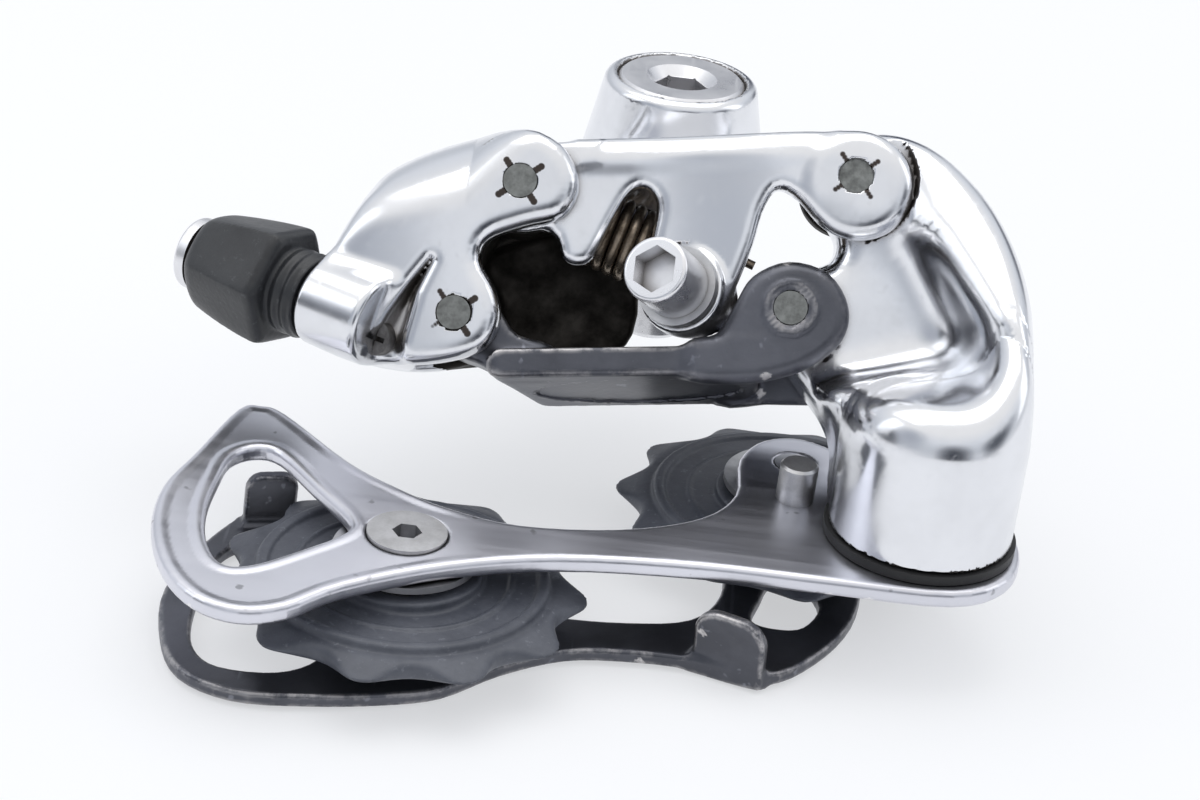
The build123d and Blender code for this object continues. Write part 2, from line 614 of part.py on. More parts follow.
def p_axle():
    body = rod(P_AXLE_R, PLATE_LOW, P_AXLE_TOP, P_AXIS)
    return body + rod(P_AXLE_R + 1.6, PLATE_LOW - 1.0, PLATE_LOW, P_AXIS)


def p_bushing():
    return ring(P_AXLE_R + RUN + P_BUSH_T, P_AXLE_R + RUN, P_CAVITY_TOP, P_AXLE_TOP, P_AXIS)


def p_spring():
    radius = (P_AXLE_R + P_CAVITY_R) / 2
    low = PLATE_TOP + SEAL_T + GAP
    return Pos(*P_AXIS, 0) * coil(radius, P_SPRING_WIRE, low, P_CAVITY_TOP - GAP, P_SPRING_TURNS)


def p_seal_ring():
    return ring(P_BODY_R + 0.5, P_AXLE_R, PLATE_TOP, PLATE_TOP + SEAL_T, P_AXIS)


# ---------------------------------------------------------------- cage
def at_tension(points):
    """Cage outlines are drawn from the tension pulley's axis."""
    return [(T_AXIS[0] + x, T_AXIS[1] + y) for x, y in points]


def outer_plate():
    edge = [(-23.6, 25.0), (-20.9, 26.6), (-17.6, 25.2), (-8.5, 15.2), (-2.0, 10.4), (4.1, 7.2), (12.4, 5.3),
            (23.9, 7.2), (33.0, 12.0), (37.2, 19.0), (37.6, 28.0), (40.5, 33.6), (45.5, 35.2), (51.0, 32.0),
            (56.0, 26.6), (63.0, 25.2), (69.0, 20.4), (71.0, 13.6), (69.0, 6.0), (62.5, 1.4), (48.4, 0.9),
            (33.5, 0.7), (17.6, -1.4), (5.6, -5.9), (-5.2, -12.8), (-10.8, -18.6), (-15.8, -20.6),
            (-21.0, -18.8), (-25.4, -13.2), (-28.3, -4.5), (-28.7, 4.5), (-26.6, 13.0)]
    window = [(-22.8, 7.5), (-22.2, 13.0), (-19.8, 15.8), (-16.8, 15.0), (-11.6, 8.2), (-7.2, 2.2),
              (-6.9, -1.2), (-11.2, -6.2), (-16.2, -10.8), (-19.4, -10.9), (-21.8, -6.0), (-22.9, 0.6)]
    face = smooth(at_tension(edge)) - smooth(at_tension(window))
    body = slab(face, PLATE_LOW, PLATE_TOP)
    body -= Pos(*T_AXIS, PLATE_LOW) * rod(AXLE_BOLT_R + RUN, -1, OUTER_PLATE_T + 1)
    body -= rod(BOLT_CAP_R + RUN, PLATE_TOP - BOLT_CAP_T, PLATE_TOP + 1, T_AXIS)
    body -= rod(AXLE_BOLT_R, PLATE_LOW - 1, PLATE_TOP + 1, G_AXIS)
    body -= rod(P_AXLE_R, PLATE_LOW - 1, PLATE_TOP + 1, P_AXIS)
    return body - rod(STOP_PIN_R, PLATE_LOW - 1, PLATE_TOP + 1, STOP_PIN_AT)


def inner_plate():
    z_top = PULLEY_Z - CAGE_HALF
    edge = [(-27.3, 0.5), (-26.0, -9.0), (-22.8, -15.9), (-16.3, -19.1), (-8.2, -18.4), (0.0, -16.4),
            (6.4, -13.6), (12.4, -7.6), (19.4, -2.8), (26.5, -1.3), (33.7, -1.2), (42.5, -2.6), (48.4, 3.0),
            (52.8, 12.0), (54.0, 22.0), (51.4, 31.0), (45.0, 35.0), (39.0, 32.0), (37.4, 24.0), (36.9, 14.0),
            (33.4, 7.6), (26.0, 5.2), (17.0, 4.6), (8.0, 6.4), (-1.0, 9.0), (-9.0, 14.0), (-15.5, 20.0),
            (-20.5, 20.0), (-24.6, 12.0)]
    loop = [(-22.7, 6.5), (-22.9, -6.0), (-20.6, -14.0), (-11.0, -14.2), (-7.0, -9.0), (-6.5, 5.0),
            (-13.5, 13.4), (-20.0, 13.4)]
    port = [(40.6, 8.4), (42.6, 19.6), (47.6, 19.6), (49.2, 14.0), (46.8, 8.6)]
    face = smooth(at_tension(edge)) - blob(at_tension(loop), 2.4) - blob(at_tension(port), 1.2)
    body = slab(face, z_top - INNER_PLATE_T, z_top)
    body += guide_flap((33.6, -1.0), (41.6, -4.4), FLAP_H)
    body += guide_flap((-20.6, 15.6), (-14.6, 17.4), REAR_FLAP_H)
    for axis in (T_AXIS, G_AXIS):
        body -= rod(AXLE_BOLT_R, z_top - 5, z_top + 5, axis)
    return body


def guide_flap(start, end, height):
    """A chain-guide flap turned up from the inner plate's edge."""
    (x0, y0), (x1, y1) = at_tension([start, end])
    run = hypot(x1 - x0, y1 - y0)
    z_low = PULLEY_Z - CAGE_HALF - INNER_PLATE_T
    face = Pos(0, height / 2) * RectangleRounded(run, height, min(run, height) * 0.35)
    face += Pos(0, height / 4) * Rectangle(run, height / 2)
    middle = ((x0 + x1) / 2, (y0 + y1) / 2, z_low)
    plane = Plane(origin=middle, x_dir=(x1 - x0, y1 - y0, 0), z_dir=(y0 - y1, x1 - x0, 0))
    sign = 1 if plane.y_dir.Z > 0 else -1
    return extrude(plane * (Rot(0, 0, 0 if sign > 0 else 180) * face), INNER_PLATE_T)


def stop_pin():
    body = rod(STOP_PIN_R, PLATE_LOW, PLATE_TOP + STOP_PIN_H, STOP_PIN_AT)
    return chamfer(body.edges().sort_by(Axis.Z)[-1], 0.3)


def tension_bolt():
    low = PULLEY_Z - CAGE_HALF - INNER_PLATE_T
    body = rod(AXLE_BOLT_R, low, PLATE_TOP - BOLT_CAP_T, T_AXIS)
    body += rod(BOLT_CAP_R, PLATE_TOP - BOLT_CAP_T, PLATE_TOP + 0.1, T_AXIS)
    return body - slab(Pos(*T_AXIS) * hexagon(BOLT_CAP_HEX), PLATE_TOP - BOLT_CAP_T - 1.2, PLATE_TOP + 1)


def guide_bolt():
    low = PULLEY_Z - CAGE_HALF - INNER_PLATE_T
    return rod(AXLE_BOLT_R, low, PLATE_TOP - 0.2, G_AXIS)


def pulley_caps(axis, seal=0.0):
    """Dust caps between the plates and one pulley."""
    caps = Part()
    for side in (-1, 1):
        z = PULLEY_Z + side * (CAGE_HALF - CAP_T / 2)
        cap = Cylinder(CAP_R, CAP_T) - Cylinder(SLEEVE_BORE_R + seal, CAP_T + 1)
        caps += Pos(axis[0], axis[1], z) * cap
    return caps


# ---------------------------------------------------------------- pulleys
def toothed_disc(axis, phase):
    pitch_r = CHAIN_PITCH / (2 * sin(pi / TEETH))
    disc = Circle(TIP_R)
    for k in range(TEETH):
        disc -= Pos(*polar((0, 0), pitch_r, phase + (k + 0.5) * 360 / TEETH)) * Circle(ROLLER_R)
    body = slab(disc, -TOOTH_T / 2, TOOTH_T / 2)
    body += ring(RIM_R, RIM_R - 1.4, -RIM_T / 2, RIM_T / 2)
    body += rod(RIM_R - 1, -RIM_T / 2 + 0.5, RIM_T / 2 - 0.5)
    body += rod(HUB_FACE_R, -HUB_HALF, HUB_HALF)
    return Pos(axis[0], axis[1], PULLEY_Z) * body


def guide_pulley():
    return toothed_disc(G_AXIS, GUIDE_PHASE) - rod(PULLEY_BORE_R + RUN, PULLEY_Z - 9, PULLEY_Z + 9, G_AXIS)


def guide_bush():
    half = HUB_HALF - 0.1
    return ring(PULLEY_BORE_R, SLEEVE_BORE_R + RUN, PULLEY_Z - half, PULLEY_Z + half, G_AXIS)


def guide_sleeve():
    return ring(SLEEVE_BORE_R, AXLE_BOLT_R, PULLEY_Z - CAGE_HALF, PULLEY_Z + CAGE_HALF, G_AXIS)


def tension_pulley():
    body = toothed_disc(T_AXIS, TENSION_PHASE)
    return body - rod(RACE_OUTER_R, PULLEY_Z - 9, PULLEY_Z + 9, T_AXIS)


def race(inner, outer, half):
    body = ring(outer, inner, -half, half)
    groove = Torus(BALL_ORBIT, BALL_R + RUN)
    return Pos(T_AXIS[0], T_AXIS[1], PULLEY_Z) * (body - groove)


def bearing_inner_race():
    return race(AXLE_BOLT_R, BALL_ORBIT - 0.55, CAGE_HALF - CAP_T)


def bearing_outer_race():
    return race(BALL_ORBIT + 0.55, RACE_OUTER_R, HUB_HALF - 0.4)


def bearing_balls():
    places = [polar(T_AXIS, BALL_ORBIT, 360 * k / BALLS) for k in range(BALLS)]
    return Compound(children=[Pos(x, y, PULLEY_Z) * Sphere(BALL_R) for x, y in places])


# ---------------------------------------------------------------- write the parts
NODES = {
    "mounting_bolt": mounting_bolt, "stop_plate": stop_plate, "retaining_ring": retaining_ring,
    "bracket_body": bracket_body, "b_bushing": b_bushing, "b_spring": b_spring, "b_seal_ring": b_seal_ring,
    "b_tension_screw": b_tension_screw, "adjuster_barrel": adjuster_barrel, "adjuster_knob": adjuster_knob,
    "adjuster_spring_sleeve": adjuster_spring_sleeve, "outer_link": outer_link,
    "cable_clamp_washer": cable_clamp_washer, "cable_fixing_bolt": cable_fixing_bolt,
    "inner_link": inner_link, "return_spring": return_spring, "p_knuckle": p_knuckle,
    "p_bushing": p_bushing, "p_spring": p_spring, "p_axle": p_axle, "p_seal_ring": p_seal_ring,
    "outer_plate": outer_plate, "inner_plate": inner_plate, "stop_pin": stop_pin,
    "tension_bolt": tension_bolt, "guide_bolt": guide_bolt, "guide_pulley": guide_pulley,
    "guide_bush": guide_bush, "guide_sleeve": guide_sleeve, "tension_pulley": tension_pulley,
    "bearing_inner_race": bearing_inner_race, "bearing_outer_race": bearing_outer_race,
    "bearing_balls": bearing_balls,
}
LINK_PINS = {"rear_outer_pin": A1, "rear_inner_pin": A2, "front_outer_pin": B1, "front_inner_pin": B2}
LIMIT_SCREWS = {"high_limit_screw": (HIGH_TIP, HIGH_DIR), "low_limit_screw": (LOW_TIP, LOW_DIR)}

os.makedirs("parts", exist_ok=True)
for name, make in NODES.items():
    export_step(make(), f"parts/{name}.step")
for name, point in LINK_PINS.items():
    export_step(link_pin(point), f"parts/{name}.step")
for name, (tip, direction) in LIMIT_SCREWS.items():
    export_step(limit_screw(tip, direction), f"parts/{name}.step")
export_step(pulley_caps(G_AXIS), "parts/guide_caps.step")
export_step(pulley_caps(T_AXIS, AXLE_BOLT_R - SLEEVE_BORE_R), "parts/tension_caps.step")
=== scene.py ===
import json
import math
import bpy
import numpy as np
from mathutils import Matrix, Vector


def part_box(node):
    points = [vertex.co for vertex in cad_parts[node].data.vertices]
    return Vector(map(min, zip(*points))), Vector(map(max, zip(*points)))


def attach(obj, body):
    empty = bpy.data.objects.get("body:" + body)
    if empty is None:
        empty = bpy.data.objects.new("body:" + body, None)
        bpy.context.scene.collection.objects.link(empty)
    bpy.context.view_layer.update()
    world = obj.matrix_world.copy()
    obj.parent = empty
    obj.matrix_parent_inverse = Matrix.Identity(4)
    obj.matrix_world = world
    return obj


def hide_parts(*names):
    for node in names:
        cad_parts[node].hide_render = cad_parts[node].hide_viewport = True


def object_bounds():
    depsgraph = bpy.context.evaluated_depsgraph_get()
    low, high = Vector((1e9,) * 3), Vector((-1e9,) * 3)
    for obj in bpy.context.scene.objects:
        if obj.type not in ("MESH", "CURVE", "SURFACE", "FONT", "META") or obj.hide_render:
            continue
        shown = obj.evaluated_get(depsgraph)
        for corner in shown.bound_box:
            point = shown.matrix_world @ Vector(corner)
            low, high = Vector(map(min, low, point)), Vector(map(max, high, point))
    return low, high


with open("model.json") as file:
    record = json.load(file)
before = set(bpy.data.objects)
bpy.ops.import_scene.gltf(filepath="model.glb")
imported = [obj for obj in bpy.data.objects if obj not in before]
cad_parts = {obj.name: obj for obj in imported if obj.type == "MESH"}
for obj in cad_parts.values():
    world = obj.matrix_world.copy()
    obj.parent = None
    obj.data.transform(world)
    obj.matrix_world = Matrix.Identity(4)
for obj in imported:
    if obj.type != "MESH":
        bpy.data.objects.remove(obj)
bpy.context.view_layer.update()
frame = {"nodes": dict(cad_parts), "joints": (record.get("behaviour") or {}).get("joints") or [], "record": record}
NODES = frame["nodes"]
JOINTS = {j["name"]: j for j in frame["joints"]}
MM = 0.001

# ------------------------------------------------------------ places, in millimetres
SIN, COS = 0.5, math.cos(math.radians(30))      # the parallelogram's pins slant 30 degrees


def pin_xy(joint):
    """A pin's place in the plane square to the pins, from its joint."""
    x, y, z = [c / MM for c in JOINTS[joint]["pos_m"]]
    return x, SIN * y + COS * z


A1, A2 = pin_xy("shift"), pin_xy("inner_link_pivot")
B1 = pin_xy("knuckle_pivot")
B2 = (A2[0] + B1[0] - A1[0], A2[1] + B1[1] - A1[1])
LEAN = math.atan2(B1[1] - A1[1], B1[0] - A1[0])
LENGTH = math.hypot(B1[0] - A1[0], B1[1] - A1[1])
TAIL, REAR, FRONT, HEAD = 19.2, 22.5, 33.4, 37.0      # levels along the pins
P = [c / MM for c in JOINTS["cage_pivot"]["pos_m"][:2]]
T = [c / MM for c in JOINTS["tension_spin"]["pos_m"][:2]]
G = [c / MM for c in JOINTS["guide_spin"]["pos_m"][:2]]


def span(node):
    """A node's box in millimetres."""
    low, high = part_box(node)
    return np.array(low) / MM, np.array(high) / MM


PLATE = [span("outer_plate")[0][2], span("outer_plate")[1][2]]
INNER_LOW = span("inner_plate")[0][2]


def at(points, origin):
    return [(origin[0] + x, origin[1] + y) for x, y in points]


def pin_box(node, grow=1.0):
    """A node's box in the pin frame."""
    co = np.array([v.co for v in NODES[node].data.vertices]) / MM
    p = np.stack([co[:, 0], SIN * co[:, 1] + COS * co[:, 2], -COS * co[:, 1] + SIN * co[:, 2]], 1)
    return p.min(0) - grow, p.max(0) + grow


def link_axes(x, u, pin):
    """Along a link from its rear pin, and across it."""
    c, s = math.cos(LEAN), math.sin(LEAN)
    return (x - pin[0]) * c + (u - pin[1]) * s, -(x - pin[0]) * s + (u - pin[1]) * c


# ------------------------------------------------------------ distance fields
def curve(points, steps=5):
    """A closed smooth outline through its points."""
    p = np.array(points, float)
    a, b, c, d = np.roll(p, 1, 0), p, np.roll(p, -1, 0), np.roll(p, -2, 0)
    rows = []
    for k in range(steps):
        t = k / steps
        rows.append(0.5 * (2 * b + (c - a) * t + (2 * a - 5 * b + 4 * c - d) * t ** 2
                           + (3 * b - a - 3 * c + d) * t ** 3))
    return np.stack(rows, 1).reshape(-1, 2)


def poly(x, y, points):
    """Signed distance to a closed outline, negative inside."""
    x, y = np.broadcast_arrays(x, y)
    best = np.full(x.shape, 1e9)
    inside = np.zeros(x.shape, bool)
    pts = np.array(points, float)
    for (ax, ay), (bx, by) in zip(pts, np.roll(pts, -1, 0)):
        ex, ey = bx - ax, by - ay
        if ex == 0 and ey == 0:
            continue
        t = np.clip(((x - ax) * ex + (y - ay) * ey) / (ex * ex + ey * ey), 0, 1)
        best = np.minimum(best, (x - ax - t * ex) ** 2 + (y - ay - t * ey) ** 2)
        if ey != 0:
            crossing = ((ay > y) != (by > y)) & (x < ax + (y - ay) * ex / ey)
            inside ^= crossing
    return np.where(inside, -1, 1) * np.sqrt(best)


def disc(x, y, centre, radius):
    return np.hypot(x - centre[0], y - centre[1]) - radius


def thick(d, h, low, high, r):
    """A flat shape d thickened from low to high, its edges rounded by r."""
    e = np.abs(h - (low + high) / 2) - (high - low) / 2
    a, b = d + r, e + r
    return np.minimum(np.maximum(a, b), 0) + np.hypot(np.maximum(a, 0), np.maximum(b, 0)) - r


def smin(a, b, k):
    """The union of two fields, blended over k."""
    h = np.maximum(k - np.abs(a - b), 0) / k
    return np.minimum(a, b) - h * h * k / 4


def smax(a, b, k):
    return -smin(-a, -b, k)


def ramp01(t):
    """A soft step from 0 to 1."""
    t = np.clip(t, 0, 1)
    return t * t * (3 - 2 * t)


def nets(field, low, high, step):
    """Vertices and quads of the field's zero surface."""
    ax = [np.arange(l - step * 1.5, h + step * 2, step) for l, h in zip(low, high)]
    v = field(ax[0][:, None, None], ax[1][None, :, None], ax[2][None, None, :])
    v = np.broadcast_to(v, [len(a) for a in ax]).astype(np.float64)
    inside = v < 0
    shape = np.array(v.shape) - 1
    total, count = np.zeros((*shape, 3)), np.zeros(tuple(shape))
    corner = [(i, j, k) for i in (0, 1) for j in (0, 1) for k in (0, 1)]

    def cut(i, j, k):
        return slice(i, i + shape[0]), slice(j, j + shape[1]), slice(k, k + shape[2])

    for c in corner:
        for axis in range(3):
            if c[axis]:
                continue
            d = list(c)
            d[axis] = 1
            va, vb = v[cut(*c)], v[cut(*d)]
            change = inside[cut(*c)] != inside[cut(*d)]
            t = np.where(change, va / np.where(change, va - vb, 1), 0)
            for q in range(3):
                total[..., q] += np.where(change, c[q] + (t if q == axis else 0), 0)
            count += change
    active = count > 0
    index = -np.ones(tuple(shape), int)
    index[active] = np.arange(active.sum())
    cells = np.argwhere(active)
    verts = (cells + total[active] / count[active][:, None]) * step + np.array([a[0] for a in ax])
    quads = []
    for axis in range(3):
        b, c = (axis + 1) % 3, (axis + 2) % 3
        lo, hi = [slice(None)] * 3, [slice(None)] * 3
        lo[axis], hi[axis] = slice(0, -1), slice(1, None)
        change = inside[tuple(lo)] != inside[tuple(hi)]
        for flip in (False, True):
            where = np.argwhere(change & (inside[tuple(lo)] == (not flip)))
            within = (where[:, b] > 0) & (where[:, c] > 0)
            where = where[within & (where[:, b] < shape[b]) & (where[:, c] < shape[c])]
            ring = []
            for db, dc in ((1, 1), (0, 1), (0, 0), (1, 0)):
                w = where.copy()
                w[:, b] -= db
                w[:, c] -= dc
                ring.append(index[w[:, 0], w[:, 1], w[:, 2]])
            quad = np.stack(ring, 1)
            quads.append(quad[:, ::-1] if flip else quad)
    return verts, np.concatenate(quads)


def gradient(field, p, e=0.05):
    """The field's slope at each point."""
    g = []
    for q in range(3):
        a, b = p.copy(), p.copy()
        a[:, q] += e
        b[:, q] -= e
        g.append((field(*a.T) - field(*b.T)) / (2 * e))
    return np.stack(g, 1)


def to_space(p):
    """From the pin frame, across, up and along the pins, to the row frame."""
    return np.stack([p[:, 0], SIN * p[:, 1] - COS * p[:, 2], COS * p[:, 1] + SIN * p[:, 2]], 1)


def carve(name, field, low, high, step, pins, body, node, material, painted_shade=None):
    """A mesh piece from a distance field, which stands for a CAD node."""
    verts, quads = nets(field, low, high, step)
    for _ in range(4):
        g = gradient(field, verts)
        size = np.maximum((g ** 2).sum(1), 0.25)
        move = (field(*verts.T) / size)[:, None] * g
        verts -= np.clip(move, -step * 0.5, step * 0.5)
    normal = gradient(field, verts)
    normal /= np.maximum(np.linalg.norm(normal, axis=1), 1e-9)[:, None]
    pin_verts = verts
    if pins:
        verts, normal = to_space(verts), to_space(normal)
    mesh = bpy.data.meshes.new(name)
    mesh.from_pydata((verts * MM).tolist(), [], quads.tolist())
    mesh.validate()
    mesh.polygons.foreach_set("use_smooth", [True] * len(mesh.polygons))
    if len(mesh.vertices) == len(normal):
        mesh.normals_split_custom_set_from_vertices(normal.tolist())
    piece = bpy.data.objects.new(name, mesh)
    bpy.context.scene.collection.objects.link(piece)
    mesh.materials.append(material)
    # faces picked by the mask get a near-black second material: painted shade
    if painted_shade is not None:
        mesh.materials.append(MATERIALS["painted_shade_alloy"])
        middle = pin_verts[quads].mean(1)
        mesh.polygons.foreach_set("material_index", painted_shade(*middle.T).astype(np.int32))
    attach(piece, body)
    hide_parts(node)
    return piece


# ------------------------------------------------------------ materials
def new_material(name, color, rough, metal):
    m = bpy.data.materials.new(name)
    m.use_nodes = True
    n = m.node_tree.nodes
    b = n["Principled BSDF"]
    b.inputs["Base Color"].default_value = (*color, 1)
    b.inputs["Roughness"].default_value = rough
    b.inputs["Metallic"].default_value = metal
    return m, m.node_tree, b


def noise(tree, scale, detail=4.0, rough=0.55, distort=0.0, stretch=None):
    where = tree.nodes.new("ShaderNodeTexCoord")
    tex = tree.nodes.new("ShaderNodeTexNoise")
    tex.inputs["Scale"].default_value = scale
    tex.inputs["Detail"].default_value = detail
    tex.inputs["Roughness"].default_value = rough
    tex.inputs["Distortion"].default_value = distort
    if stretch:
        m = tree.nodes.new("ShaderNodeMapping")
        m.inputs["Scale"].default_value = stretch[:3]
        m.inputs["Rotation"].default_value = stretch[3:]
        tree.links.new(where.outputs["Object"], m.inputs["Vector"])
        tree.links.new(m.outputs["Vector"], tex.inputs["Vector"])
    else:
        tree.links.new(where.outputs["Object"], tex.inputs["Vector"])
    return tex.outputs["Fac"]


def ramp(tree, source, stops):
    r = tree.nodes.new("ShaderNodeValToRGB")
    tree.links.new(source, r.inputs["Fac"])
    el = r.color_ramp.elements
    while len(el) < len(stops):
        el.new(0.5)
    for e, (p, c) in zip(el, stops):
        e.position = p
        e.color = (*c, 1) if isinstance(c, tuple) else (c, c, c, 1)
    return r.outputs["Color"]


def mix(tree, factor, a, b, kind="MIX"):
    m = tree.nodes.new("ShaderNodeMix")
    m.data_type = "RGBA"
    m.blend_type = kind
    for socket, value in ((m.inputs[0], factor), (m.inputs[6], a), (m.inputs[7], b)):
        if isinstance(value, bpy.types.NodeSocket):
            tree.links.new(value, socket)
        elif isinstance(value, tuple):
            socket.default_value = (*value, 1)
        else:
            socket.default_value = value
    return m.outputs[2]


def bump(tree, b, height, strength, distance):
    n = tree.nodes.new("ShaderNodeBump")
    n.inputs["Strength"].default_value = strength
    n.inputs["Distance"].default_value = distance
    tree.links.new(height, n.inputs["Height"])
    tree.links.new(n.outputs["Normal"], b.inputs["Normal"])


def crevice(tree, distance):
    """A mask for painted shade: dark where surfaces stand close together."""
    ao = tree.nodes.new("ShaderNodeAmbientOcclusion")
    ao.samples = 8
    ao.inputs["Distance"].default_value = distance
    return ao.outputs["AO"]


def edge(tree, low, high):
    """Bright along sharp outward edges."""
    g = tree.nodes.new("ShaderNodeNewGeometry")
    return ramp(tree, g.outputs["Pointiness"], [(low, 0.0), (high, 1.0)])


def punched(tree, pins, turn):
    """Masks the punch marks that hold the pins in; their dents are not modelled, so the marks are painted dark as
    painted shade.
    """
    where = tree.nodes.new("ShaderNodeTexCoord")
    total = None
    for x, u in pins:
        for k in range(4):
            for reach in (2.2, 2.6, 3.0):
                a = math.radians(turn + 90 * k)
                px, pu = x + reach * math.cos(a), u + reach * math.sin(a)
                dist = tree.nodes.new("ShaderNodeVectorMath")
                dist.operation = "DISTANCE"
                place = (px * MM, (SIN * pu - COS * HEAD) * MM, (COS * pu + SIN * HEAD) * MM)
                dist.inputs[1].default_value = place
                tree.links.new(where.outputs["Object"], dist.inputs[0])
                wide = tree.nodes.new("ShaderNodeMath")
                wide.operation = "MULTIPLY"
                wide.inputs[1].default_value = 1000.0
                tree.links.new(dist.outputs["Value"], wide.inputs[0])
                near = ramp(tree, wide.outputs[0], [(0.36, 1.0), (0.48, 0.0)])
                total = near if total is None else mix(tree, 1.0, total, near, "LIGHTEN")
    return total


def polished(name, color, rough, crevice_shade_depth=0.5, pins=()):
    """Bright metal with scratches and smears, painted shade tinted brown like grime in its corners, and, where
    pins are given, punch marks painted dark.
    """
    m, t, b = new_material(name, color, rough, 1.0)
    scratch = ramp(t, noise(t, 900, 2, 0.5, 0.0, (1, 0.08, 1, 0.3, 0.5, 0.7)), [(0.60, 0.0), (0.70, 1.0)])
    smear = ramp(t, noise(t, 130, 5, 0.6), [(0.40, 0.0), (0.75, 1.0)])
    # painted shade, tinted brown like grime: darker where surfaces stand close together
    crevice_shade = ramp(t, crevice(t, 0.0025), [(0.25, 0.0), (0.75, 1.0)])
    patchy = mix(t, smear, color, tuple(c * 0.93 for c in color))
    painted_shade = mix(t, crevice_shade, tuple(c * (1 - crevice_shade_depth) * w for c, w in zip(color, (0.62, 0.56, 0.5))), patchy)
    if pins:
        # painted shade: the punch marks' dents, which are not modelled, drawn near black
        painted_shade = mix(t, punched(t, pins, 40), painted_shade, (0.06, 0.05, 0.045))
    t.links.new(painted_shade, b.inputs["Base Color"])
    r = mix(t, smear, (rough,) * 3, (rough * 1.7 + 0.02,) * 3)
    r = mix(t, scratch, r, (rough + 0.12,) * 3)
    t.links.new(mix(t, crevice_shade, (0.55,) * 3, r), b.inputs["Roughness"])
    bump(t, b, noise(t, 60, 3, 0.5), 0.10, 0.0004)
    return m


def brushed(name, color, rough):
    """Satin metal with fine lines along its length and worn bright rims."""
    m, t, b = new_material(name, color, rough, 1.0)
    lines = ramp(t, noise(t, 500, 3, 0.6, 0.0, (0.03, 1, 0.3, 0, 0, 0.12)), [(0.35, 0.0), (0.65, 1.0)])
    cloud = ramp(t, noise(t, 45, 4, 0.5), [(0.35, 0.0), (0.7, 1.0)])
    speck = ramp(t, noise(t, 420, 2, 0.4), [(0.70, 0.0), (0.74, 1.0)])
    tone = mix(t, cloud, color, tuple(c * 0.86 for c in color))
    tone = mix(t, speck, tone, tuple(c * 0.55 for c in color))
    # painted shade: much darker where surfaces stand close together
    crevice_shade = ramp(t, crevice(t, 0.0022), [(0.15, 0.0), (0.8, 1.0)])
    tone = mix(t, crevice_shade, tuple(c * 0.35 for c in color), tone)
    t.links.new(mix(t, edge(t, 0.52, 0.60), tone, (0.86, 0.85, 0.87)), b.inputs["Base Color"])
    t.links.new(mix(t, lines, (rough,) * 3, (rough + 0.07,) * 3), b.inputs["Roughness"])
    bump(t, b, lines, 0.05, 0.0001)
    return m


def plain_metal(name, color, rough, dull=0.8, scale=400):
    """Flecked metal, with painted shade in its corners."""
    m, t, b = new_material(name, color, rough, 1.0)
    fleck = ramp(t, noise(t, scale, 6, 0.65), [(0.35, 0.0), (0.7, 1.0)])
    # painted shade: much darker where surfaces stand close together
    crevice_shade = ramp(t, crevice(t, 0.002), [(0.2, 0.0), (0.7, 1.0)])
    tone = mix(t, fleck, color, tuple(c * dull for c in color))
    t.links.new(mix(t, crevice_shade, tuple(c * 0.25 for c in color), tone), b.inputs["Base Color"])
    t.links.new(mix(t, fleck, (rough,) * 3, (min(rough * 1.5, 1),) * 3), b.inputs["Roughness"])
    bump(t, b, noise(t, scale * 3, 3, 0.6), 0.12, 0.0002)
    return m


def dark_coat(name, color, rough, worn):
    """Dark anodised metal, chipped bright along its edges."""
    m, t, b = new_material(name, color, rough, 0.85)
    chips = ramp(t, noise(t, 260, 8, 0.7), [(0.42, 0.0), (0.56, 1.0)])
    rim = edge(t, 0.515, 0.565)
    bare = mix(t, chips, (0, 0, 0), rim)
    rub = ramp(t, noise(t, 700, 2, 0.5, 0, (1, 0.05, 1, 0.2, 0.9, 0.4)), [(0.66, 0.0), (0.74, 0.6)])
    film = ramp(t, noise(t, 70, 6, 0.6), [(0.35, 0.0), (0.8, 1.0)])
    tone = mix(t, film, color, tuple(c * 1.9 for c in color))
    tone = mix(t, rub, tone, tuple(c * 3.0 for c in color))
    t.links.new(mix(t, bare, tone, worn), b.inputs["Base Color"])
    t.links.new(mix(t, film, (rough,) * 3, (rough + 0.18,) * 3), b.inputs["Roughness"])
    bump(t, b, noise(t, 900, 4, 0.6), 0.18, 0.0002)
    return m


def plastic(name, color, rough, dust, amount):
    """Resin or rubber under a film of dust."""
    m, t, b = new_material(name, color, rough, 0.0)
    film = ramp(t, noise(t, 120, 8, 0.68), [(0.32, 0.0), (0.78, amount)])
    speck = ramp(t, noise(t, 900, 3, 0.7), [(0.62, 0.0), (0.7, amount)])
    tone = mix(t, film, color, dust)
    t.links.new(mix(t, speck, tone, dust), b.inputs["Base Color"])
    t.links.new(mix(t, film, (rough,) * 3, (min(rough + 0.25, 1),) * 3), b.inputs["Roughness"])
    bump(t, b, noise(t, 1400, 3, 0.6), 0.25, 0.0002)
    return m


def spring_metal(name, color):
    """Greasy spring wire."""
    m, t, b = new_material(name, color, 0.32, 0.9)
    grease = ramp(t, noise(t, 220, 7, 0.7), [(0.4, 0.0), (0.62, 1.0)])
    t.links.new(mix(t, grease, color, (0.045, 0.03, 0.018)), b.inputs["Base Color"])
    t.links.new(mix(t, grease, (0.26,) * 3, (0.5,) * 3), b.inputs["Roughness"])
    bump(t, b, noise(t, 500, 4, 0.6), 0.3, 0.0002)
    return m


